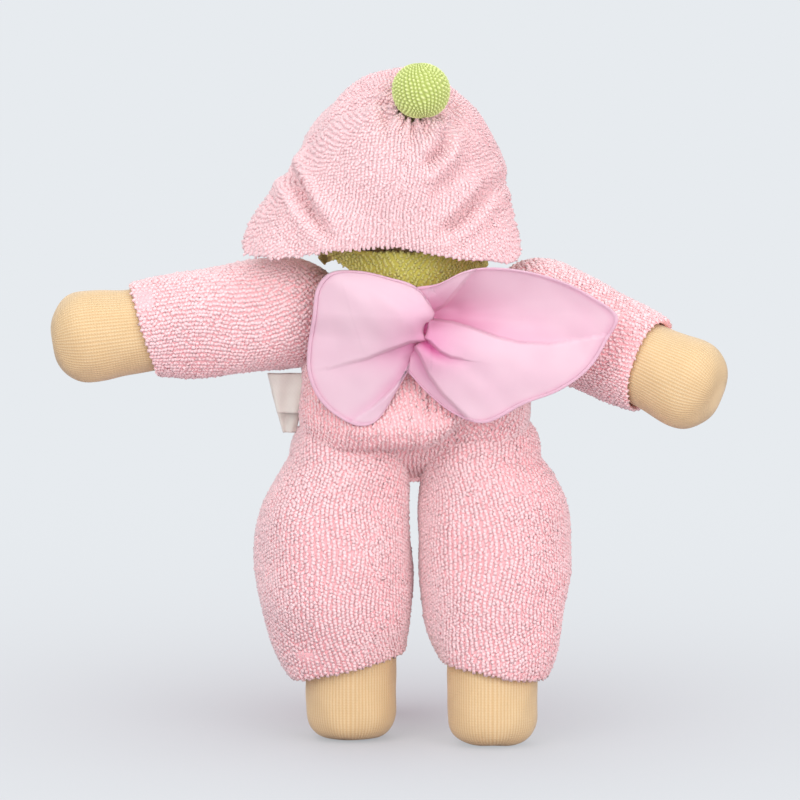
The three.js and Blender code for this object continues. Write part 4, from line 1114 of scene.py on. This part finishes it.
def make_leg(side):
    """One trouser leg with its pile and ragged hem, and the jersey foot inside it."""
    sign, limb = SIDES[side], leg_limb(side)
    full, hem = open_tube(
        limb, trouser_section(side), HIP_RADIUS, HEM_AT, HEM_TURNED_IN, LEG_POWER, LEG_AROUND,
        sign * HEM_SLANT[side], HEM_REACH, uneven=(0.45, 24, 5 + int(sign)),
    )
    deepest_tuck = SEAT_EDGE[:, 2].max()
    terry_form(
        f"trouser_{side}", full, (f"trouser_{side}", f"leg_filling_{side}"), fill=0.9,
        rows=(0.05, hem), middle=0.75,
        keep=lambda p: depth_in_torso(p) < HIDDEN_IN_TORSO + deepest_tuck * ease(p[:, 1], 2.0, 6.0),
        edge=lambda u: 0.9 * ease(u, hem - 0.025, hem),
        blend=("body", f"leg_{side}", limb.pivot + (0, 0, 10.0), limb.pivot - (0, 0, 12.0)),
    )
    rows = profile(HEM_AT - FOOT_TUCK, HIP_Z, end_cap=FOOT_CAP)
    grid = stuffed(foot_section(side), rows, FOOT_POWER, FOOT_WALES * WALE_AROUND, JERSEY_GRID)
    foot = closed_form(limb.out(grid))
    jersey_form(f"foot_{side}_jersey", foot, FOOT_WALES, f"leg_{side}", (f"foot_{side}",), floor=0.0)


def make_arm(side):
    """One sleeve with its pile and cuff, and the jersey hand inside it."""
    sign, limb, length = SIDES[side], arm_limb(side), ARM_LENGTH[side]
    cuff = length * CUFF_AT
    full, edge = open_tube(
        limb, by_length(SLEEVE, length), SHOULDER_RADIUS, cuff, CUFF_TURNED_IN, ROUND, ARM_AROUND,
        CUFF_SLANT[side], CUFF_REACH, uneven=(0.35, 20, 9 + int(sign)),
    )
    terry_form(
        f"sleeve_{side}", full, (f"sleeve_{side}", f"arm_filling_{side}"), fill=0.85,
        rows=(0.05, edge), middle=0.5,
        keep=lambda p: depth_in_torso(p) < HIDDEN_IN_TORSO, edge=lambda u: 0.5 * ease(u, edge - 0.02, edge),
        blend=("body", f"arm_{side}", limb.pivot - (sign * 8.0, 0, 0), limb.pivot + (sign * 14.0, 0, 0)),
    )
    rows = profile(cuff - HAND_TUCK, length, end_cap=HAND_CAP)
    grid = stuffed(by_length(HAND, length), rows, HAND_POWER, HAND_WALES * WALE_AROUND, JERSEY_GRID)
    hand = closed_form(limb.out(grid))
    jersey_form(f"hand_{side}_jersey", hand, HAND_WALES, f"arm_{side}", (f"hand_{side}",))


def head_surface(around, rows):
    """The head: a ball that is flatter below its middle. Rows run from its lowest point to its top."""
    angle = np.linspace(0, np.pi, rows)[:, None]
    turn = all_round(around)
    rise = -np.cos(angle) * np.where(angle < np.pi / 2, HEAD_DROP, HEAD_RADIUS)
    radius = HEAD_RADIUS * np.sin(angle)
    return closed_form(joined(radius * np.cos(turn), radius * np.sin(turn), rise) + HEAD)


def on_face(x, z, lift):
    """Places on the front of the head at x and z, measured from its middle, and lifted off it."""
    drop = z / np.where(z < 0, HEAD_DROP, HEAD_RADIUS)
    y = -HEAD_RADIUS * np.sqrt(np.maximum(0, 1 - drop**2 - (x / HEAD_RADIUS) ** 2))
    place = joined(x, y, z)
    return HEAD + place + unit(place) * lift[..., None]


def make_head():
    """The jersey head and neck, the wound binding, and a plain embroidered face."""
    ball = head_surface(HEAD_WALES * 4, 80)
    under_hat = ease(unit(ball.points - HEAD) @ HAT_AXIS, 0.1, 0.5)
    ball = ball.moved(-HAT_ROOM * under_hat)
    jersey_form("head_jersey", ball, HEAD_WALES, "head", ("head_cover", "head_filling"))

    rows = profile(NECK_LOW, NECK[2] + NECK_RADIUS, start_cap=(3, ROUND), end_cap=(NECK_RADIUS, ROUND))
    grid = stuffed(
        lambda place: joined(0 * place, 0, NECK_RADIUS, NECK_RADIUS), rows, ROUND, NECK_WALES * WALE_AROUND,
        JERSEY_GRID,
    )
    neck = closed_form(grid + (NECK[0], NECK[1], 0))
    jersey_form("neck_jersey", neck, NECK_WALES, "neck", ("neck",))

    turns = np.arange(3)[:, None]
    angle = all_round(72)
    level = (turns - 1) * 0.42 + BINDING_Z + 0.08 * np.sin(2 * angle)
    out = NECK_RADIUS + 0.3 + BINDING_YARN + 0.12 * (turns % 2)
    paths = joined(NECK[0] + out * np.cos(angle), NECK[1] + out * np.sin(angle), level)
    binding = tubes("neck_binding_thread", paths, 0.3, sides=6, closed=True)
    dress(binding, ROSE, "rose_thread", "neck", replaces=("neck_binding",))

    run = np.linspace(-1, 1, 9)
    across = ((np.arange(9) + 0.5) / 9 * 2 - 1)[:, None]
    high = EYE_SIZE[1] / 2 * np.sqrt(1 - across**2) * run
    lift = 0.15 + 0.35 * (1 - run**2) * (1 - 0.5 * across**2)
    for side, sign in SIDES.items():
        paths = on_face(sign * EYE_SPACING + across * EYE_SIZE[0] / 2, -EYE_DROP + high, lift)
        eye = tubes(f"eye_{side}_thread", paths, 0.24, sides=6)
        dress(eye, BROWN, "brown_thread", "head", replaces=(f"eye_{side}",))

    stitches, overlap = 5, 0.15
    run = (np.arange(stitches)[:, None] + np.linspace(0, 1 + overlap, 9)) / (stitches + overlap)
    bow = np.radians(-30 + 60 * run)
    lift = 0.1 + 0.4 * np.sin(np.linspace(0.25, np.pi - 0.25, 9))
    paths = on_face(MOUTH_RADIUS * np.sin(bow), -MOUTH_DROP + MOUTH_RADIUS * (1 - np.cos(bow)), lift)
    dress(tubes("mouth_thread", paths, 0.32, sides=6), ROSE, "rose_thread", "head", replaces=("mouth",))


def hat_axes():
    """The hat's axis, and the directions across it to its back and to the doll's left."""
    lean, roll = math.radians(HAT_LEAN), math.radians(HAT_ROLL)
    axis = unit(np.array([-math.sin(roll), math.sin(lean), math.cos(lean)]))
    back = unit(np.array([0, 1, 0]) - axis * axis[1])
    return axis, back, np.cross(back, axis)


HAT_AXIS, HAT_BACK, HAT_SIDE = hat_axes()
hat_rim = smooth(HAT_RIM)


def hat_surface(low, high, rows, columns):
    """One petal's middle surface: it follows the head's crown with some slack at the top, and from a certain angle
    on it swells out to the rim. Rows run from the ball's seat to the rim."""
    turn = np.linspace(low, high, columns)[None]
    rim_angle, rim_reach = np.moveaxis(hat_rim(turn), -1, 0)
    peak, start, rim = math.radians(HAT_PEAK), math.radians(HAT_FLARE_START), np.radians(rim_angle)
    polar = peak + (rim - peak) * np.linspace(0, 1, rows)[:, None]
    flare = np.maximum(0, (polar - start) / (rim - start)) ** HAT_FLARE_POWER
    around = np.radians(turn)
    direction = (
        np.cos(polar)[..., None] * HAT_AXIS
        + (np.sin(polar) * np.cos(around))[..., None] * HAT_BACK
        + (np.sin(polar) * np.sin(around))[..., None] * HAT_SIDE
    )
    from_top = np.degrees(np.arccos(np.clip(direction[..., 2], -1, 1))) / HAT_TOP_SPREAD
    radius = HAT_CROWN + HAT_TOP_SLACK * np.exp(-(from_top**2)) + (rim_reach - HAT_CROWN) * flare
    gathers = 0.8 * np.sin(np.radians(turn * 11) + 1.2 * np.sin(np.radians(turn * 3)))
    radius = radius + gathers * np.exp(-(((np.degrees(polar) - 12) / 13) ** 2))
    from_seam = np.minimum(turn - low, high - turn) * np.radians(1) * radius * np.sin(polar)
    radius = radius - 0.7 * np.exp(-((from_seam / 1.3) ** 2))
    return Cloth(HEAD + direction * radius[..., None], outwards=-1.0)


def make_hat():
    """The four petals of the hat with their pile, and the knitted ball. The columns of loops start at a seam."""
    for name, (low, high) in HAT_PETALS.items():
        middle = hat_surface(low, high, 80, 104)
        middle = creased(middle.moved(0.3 * soft_noise(middle.points, 18, 31)), HAT_CREASES, turned=(-0.5, 0.35))
        cloth = shell(f"hat_petal_{name}_cloth", middle.moved(-0.55), 0.6, measure=(70, 60))
        set_value(cloth, "open_wales", np.ones(len(cloth.data.vertices)))
        dress(cloth, PALE_UNDERSIDE, "pink_terry", "head", replaces=(f"hat_petal_{name}",))
        ground = middle.moved(-0.25)
        seam = 0.0 if name in ("back_left", "front_right") else 1.0
        pile = loops(
            f"hat_petal_{name}_pile", ground, loop_places(ground, middle=seam, **HAT_SPACING), **HAT_LOOPS,
            edge=lambda u: 0.7 * ease(u, 0.955, 1.0),
        )
        dress(pile, PINK_LOOPS, "pink_terry", "head")
        declare_sheet(middle)
    make_ball()


def make_ball():
    """The knitted ball: uneven columns of small rounded stitches, each column shifted against the next."""
    columns, rows = 36, 21
    turn = all_round(columns * 7)
    angle = np.linspace(0, np.pi, rows * 8)[:, None]
    across = np.sin(angle)
    ball = joined(across * np.cos(turn), across * np.sin(turn), np.cos(angle))
    uneven = soft_noise(ball, 0.55, 61)
    counted = turn * columns / (2 * np.pi) + 0.9 * np.cos(angle) + 0.14 * uneven
    wale = np.cos(2 * np.pi * counted) * 0.5 + 0.5
    shift = 0.5 * np.mod(np.round(counted), 2)
    course = np.cos(2 * np.pi * (angle / np.pi * rows + shift + 0.2 * uneven)) * 0.5 + 0.5
    stitch = wale**0.7 * (0.2 + 0.8 * course**0.8)
    radius = BALL_RADIUS - 0.5 + 0.85 * stitch * across**0.5 + 0.12 * soft_noise(ball, 1.3, 62)
    up = unit(np.array([0.12, -0.17, 0.98]))
    side = unit(np.cross(up, [0, 1, 0]))
    axes = np.stack([side, np.cross(up, side), up])
    centre = HEAD + HAT_AXIS * BALL_REACH + BALL_SAG
    quads, _ = grid_quads(angle.size, turn.size, True, 1.0)
    made = mesh_object("hat_ball_knit", ((ball * radius[..., None]) @ axes + centre).reshape(-1, 3), quads)
    set_value(made, "rise", stitch)
    merge_doubles(made)
    dress(made, GREEN, "green_knit", "head", replaces=("hat_ball",))


def declare_sheet(cloth, flat=None):
    """Works out the flat size and the area of a piece's middle surface as a sheet, but declares nothing and keeps
    neither.
    """
    down, across = np.diff(cloth.points, axis=0), np.diff(cloth.points, axis=1)
    if flat is None:
        flat = (steps_between(cloth.points, 1).sum(1).max(), steps_between(cloth.points, 0).sum(0).max())
    halves = np.cross(down[:, :-1], across[:-1]), np.cross(across[1:], down[:, 1:])
    area = (np.linalg.norm(halves[0], axis=-1) + np.linalg.norm(halves[1], axis=-1)).sum() / 2
    area = min(area, 0.99 * flat[0] * flat[1]) * MM**2
    flat = (flat[0] * MM, flat[1] * MM)


def make_collar():
    """The olive collar: a ring of five leaves that rises beside the neck and folds over the shoulders."""
    along, around = 30, 360
    turn = all_round(around)
    crest, top, tip, fall = np.moveaxis(smooth(COLLAR_ROWS)(np.degrees(turn)), -1, 0)
    places = np.stack([
        [COLLAR_INNER + 0 * turn, COLLAR_BASE_RISE + 0 * turn],
        [crest, top],
        [(crest + tip) / 2, top + 0.6 - fall * 0.35],
        [tip, top - fall],
    ])
    rows = np.column_stack([[0, 0.5, 0.75, 1], places.reshape(4, -1)])
    reach, height = np.moveaxis(smooth(rows)(np.linspace(0, 1, along)).reshape(along, 2, around), 1, 0)
    height = height - 0.25 - 0.35 * (1 - np.cos(turn))
    points = joined(NECK[0] + reach * np.sin(turn), NECK[1] + reach * np.cos(turn), NECK[2] + height)
    middle = closed_form(points).moved(0.25 * soft_noise(points, 12, 41) - 0.1)
    cloth = shell("collar_cloth", middle.moved(-0.25), 0.7, measure=(150, 14))
    dress(cloth, OLIVE_GROUND, "olive_terry", "body", replaces=("collar",))
    ground = middle.moved(0.05)
    pile = loops(
        "collar_pile", ground, loop_places(ground, rows=(0.1, 1.0), **COLLAR_SPACING), **COLLAR_LOOPS,
        edge=lambda u: 0.4 * ease(u, 0.95, 1.0),
    )
    dress(pile, OLIVE_LOOPS, "olive_terry", "body")
    declare_sheet(middle)


def fold_height(flat, line, rise, reach, hollow_reach, hollow):
    """How far a fold moves silk: up on the left of its line, less and less with distance, and down on the right."""
    drawn = traced(line, 90)
    ahead = unit(np.gradient(drawn, axis=0))
    from_line = flat[:, :, None] - drawn
    nearest = np.linalg.norm(from_line, axis=-1).argmin(-1)
    gap = np.take_along_axis(from_line, nearest[..., None, None], 2)[:, :, 0]
    direction = ahead[nearest]
    side = direction[..., 0] * gap[..., 1] - direction[..., 1] * gap[..., 0]
    distance = np.copysign(np.linalg.norm(gap, axis=-1), side)
    share = nearest / (len(drawn) - 1)
    raised = ease(distance, -0.5, 0.7)
    up = (rise[0] + (rise[1] - rise[0]) * share) * raised * np.exp(-np.maximum(distance, 0) / reach)
    right = np.minimum(distance, 0) / hollow_reach
    down = (hollow[0] + (hollow[1] - hollow[0]) * share) * (1 - raised) * np.exp(-(right**2))
    return up - down


def back_of_body(x, z):
    """How far back the torso and the sleeves reach at a place. A sleeve counts as a row of balls."""
    reach = torso_back(x, z)
    size = smooth(SLEEVE)
    for side in SIDES:
        for share in np.linspace(0, CUFF_AT, 16):
            middle = arm_limb(side).out(np.array([0, 0, share * ARM_LENGTH[side]]))
            room = size(share)[1] ** 2 - (x - middle[0]) ** 2 - (z - middle[2]) ** 2
            reach = np.maximum(reach, np.where(room > 0, middle[1] + np.sqrt(np.maximum(room, 0)), -99))
    return reach


def wing_surface(side):
    """One lobe of silk as seen from the back: it runs from a short inner edge at the gather to its outer edge,
    swells or sinks between them, has its folds laid on, lies softly on the body where it would sink into it, keeps
    clear of the hat, and is turned over in a narrow hem."""
    rows = smooth(WING[side])(np.linspace(0, 1, WING_ALONG))
    inner_x, inner_h, outer_x, outer_h, start, edge, swell = np.moveaxis(rows, -1, 0)
    length = np.hypot(outer_x - inner_x, outer_h - inner_h)
    turned_over = np.linspace(0, 1, WING_HEM_ROWS + 1)[1:, None] * np.minimum(HEM / length, 0.5)
    u = np.concatenate([np.linspace(0, 1, WING_ACROSS)[:, None] * np.ones_like(length), 1 - turned_over])
    x = inner_x + (outer_x - inner_x) * u
    h = inner_h + (outer_h - inner_h) * u
    near = np.minimum(1, u / 0.28)
    height = start + (edge - start) * u + swell * np.sqrt(1 - (1 - near) ** 2) * (1 - u**2.2)
    for fold in WING_FOLDS[side]:
        height = height + fold_height(joined(x, h), *fold)
    height = height + 0.14 * soft_noise(joined(x, h, 0), 9, 51)
    free = GATHER[1] + height
    y = free
    for _ in range(3):
        z = true_height(h, y)
        least = back_of_body(x, z) + WING_CLEAR
        y = least + WING_REST * np.logaddexp(0, (free - least) / WING_REST)
    y = y + HAT_CLEAR * ease(z, *HAT_NEAR)
    z = true_height(h, y)
    y[WING_ACROSS:] += SILK * 2.2
    return Cloth(joined(x, y, z), outwards=SIDES[side])


def silk_layers_and_shade(side, lobe):
    """How much of the deep colour the silk has at each place: painted shade at the gather and in the folds'
    hollows, and more in the hem, where the silk lies double.
    """
    flat = seen(lobe.points)
    gather = np.exp(-((np.linalg.norm(flat - seen(GATHER), axis=-1) / 9.0) ** 1.3))
    depth = np.zeros(flat.shape[:2])
    for fold in WING_FOLDS[side]:
        depth = np.maximum(depth, -fold_height(flat, *fold))
    across = np.minimum(1, np.arange(len(flat)) / (WING_ACROSS - 1))[:, None]
    return np.clip(0.7 * gather + 0.2 * depth + 0.14 * ease(across, 0.93, 0.97), 0, 1)


def make_wings():
    """The two silk lobes and the pleated knot at the gather between them."""
    for side in SIDES:
        lobe = wing_surface(side)
        made = shell(f"wing_{side}_silk", lobe, SILK)
        set_value(made, "layers_and_shade", np.tile(silk_layers_and_shade(side, lobe).ravel(), 2))
        dress(made, LILAC, "lilac_silk", f"wing_{side}", replaces=(f"wing_{side}",))
        flat = (np.ptp(lobe.points[..., 0]) * GATHERED, np.ptp(lobe.points[..., 2]) * GATHERED)
        declare_sheet(lobe, flat=flat)
    pleats = 7
    rows = np.linspace(0, np.pi, 40)[:, None]
    turn = all_round(84)
    radius = KNOT_RADIUS * (1 + 0.16 * np.cos(turn * pleats + 2.2 * np.cos(rows))) * np.sin(rows) ** 0.8
    points = joined(radius * np.cos(turn), radius * np.sin(turn), -KNOT_HALF_HEIGHT * np.cos(rows))
    knot = skin("wing_knot_silk", closed_form(points + KNOT))
    # The knot takes the deep colour all over: its pleats lie in layers, with painted shade between the lobes
    set_value(knot, "layers_and_shade", np.ones(len(knot.data.vertices)))
    dress(knot, LILAC, "lilac_silk", "body", replaces=("wing_knot",))


def make_labels():
    """The bare ribbon loops: each a tape folded double, with its ends caught in the side seam."""
    half = LABEL_GAP / 2 + RIBBON / 2
    turn = np.linspace(np.pi / 2, -np.pi / 2, 12)[1:-1]
    rise = np.linspace(0, 1, 22)[:, None]
    for name, label in LABELS.items():
        low, high, reach = label["low"], label["high"], label["reach"]
        bend = reach[1] - LABEL_GAP / 2 - TERRY / 2
        x = np.concatenate([np.linspace(-2, bend, 14), bend + half * np.cos(turn), np.linspace(bend, -2, 14)])
        y = np.concatenate([np.full(14, half), half * np.sin(turn), np.full(14, -half)])
        scale = 1 + (reach[0] / reach[1] - 1) * (1 - rise)
        start = torso_size(np.array(high))[0] + 0.3
        wave = 0.35 * np.sin(x * 0.8 + rise * 3.0)
        tape = Cloth(joined(
            start + x * scale + label["inward"] * (1 - rise), label["y"] + y + wave, low + (high - low) * rise,
        ))
        made = shell(f"{name}_ribbon", tape, RIBBON)
        dress(made, COTTON, "white_cotton", "body", replaces=(name,))
        declare_sheet(tape)
        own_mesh(made)


def finish_rattle():
    """The rattle's case and beads keep their own shape and get their finish."""
    for name in ("rattle_cup", "rattle_lid", "rattle_bead_1", "rattle_bead_2", "rattle_bead_3"):
        node = frame["nodes"][name]
        node.data.materials.clear()
        node.data.materials.append(PLASTIC)


# Floor, light and camera

CAMERA_TARGET = np.array([-3.39, -2.185, 104.6])
CAMERA_DISTANCE = 4000.0
CAMERA_LENS = 594.0
# The floor's own colour is a darker mauve than the backdrop: painted shade and pink bounce light round the doll
FLOOR_COLOUR = (181, 173, 178)
BACKDROP_COLOUR = (231, 235, 239)
FLOOR_REACH = 9000.0
FLOOR_FADE = 85.0
SHADOW_MIDDLE = (0.0, -48.0, 0.0)
# Broad lamps on each side of the view and in front of the doll, and weak ones above and low down: place, size and
# watts. All point at one place.
LAMPS = {
    "key": ((650, 1100, 800), 900, 7.0),
    "fill": ((-900, 1100, 520), 900, 7.7),
    "top": ((0, 100, 1200), 900, 2.4),
    "low": ((-200, 1300, 200), 360, 1.5),
    "front": ((300, -1300, 700), 900, 6.0),
}
LAMPS_AIM = (0, 0, 110)


def make_stage():
    """A wide pale floor. To the camera it is partly lit by itself, and more so with distance, so that it ends
    without a line and keeps the doll's shadow near by. The lesser glow near the doll paints a darker zone round it."""
    x, y = np.meshgrid([-FLOOR_REACH, 0, FLOOR_REACH], [-FLOOR_REACH, 0, FLOOR_REACH])
    quads, _ = grid_quads(3, 3, False, -1.0)
    made = mesh_object("floor", joined(x, y, 0).reshape(-1, 3) - SHIFT, quads)
    floor = Finish("floor", Roughness=0.9, Specular_IOR_Level=0.1)
    floor.shader.inputs["Base Color"].default_value = rgb(*FLOOR_COLOUR)
    glow = floor.node("ShaderNodeEmission", Color=rgb(*BACKDROP_COLOUR), Strength=1.0)
    distance = floor.node(
        "ShaderNodeVectorMath", {"operation": "DISTANCE"}, socket="Value", inputs=(floor.place(), SHADOW_MIDDLE),
    )
    far = 1 - floor.math("EXPONENT", distance * (-1 / FLOOR_FADE)) * 0.95
    floor.blend((floor.ray("Camera") + floor.ray("Glossy")) * far, glow)
    made.data.materials.append(floor.material)


def area_light(name, place, size, watts):
    """A soft square lamp that points at the doll's middle."""
    light = bpy.data.lights.new(name, "AREA")
    light.shape = "SQUARE"
    light.size = size * MM
    light.energy = watts
    lamp = bpy.data.objects.new(name, light)
    lamp.location = Vector(place) * MM
    aim = Vector(LAMPS_AIM) * MM - lamp.location
    lamp.rotation_euler = aim.to_track_quat("-Z", "Y").to_euler()
    bpy.context.scene.collection.objects.link(lamp)


def make_lights():
    """The lamps, and even pale light from all round, where the camera itself sees the backdrop's colour."""
    world = bpy.data.worlds.new("studio")
    studio = Nodes(world)
    light = studio.node("ShaderNodeBackground", Color=(0.93, 0.96, 1.0, 1.0), Strength=0.8)
    backdrop = studio.node("ShaderNodeBackground", Color=rgb(*BACKDROP_COLOUR))
    both = studio.node("ShaderNodeMixShader", inputs=(studio.ray("Camera"), light, backdrop))
    studio.node("ShaderNodeOutputWorld", socket=None, Surface=both)
    bpy.context.scene.world = world
    for name, lamp in LAMPS.items():
        area_light(name, *lamp)


def make_camera():
    """The camera behind the doll, a little above it and far away."""
    data = bpy.data.cameras.new("camera")
    data.lens = CAMERA_LENS
    data.sensor_width = 36.0
    camera = bpy.data.objects.new("camera", data)
    back = np.array([0, math.cos(VIEW_RISE), math.sin(VIEW_RISE)])
    camera.location = Vector((CAMERA_TARGET + back * CAMERA_DISTANCE) * MM)
    camera.rotation_euler = Vector(-back).to_track_quat("-Z", "Y").to_euler()
    bpy.context.scene.collection.objects.link(camera)
    bpy.context.scene.camera = camera


make_camera()
make_torso()
for limb_side in SIDES:
    make_leg(limb_side)
    make_arm(limb_side)
make_head()
make_hat()
make_collar()
make_wings()
make_labels()
finish_rattle()
make_stage()
make_lights()
bpy.context.scene.view_settings.view_transform = "Standard"

bpy.context.view_layer.update()
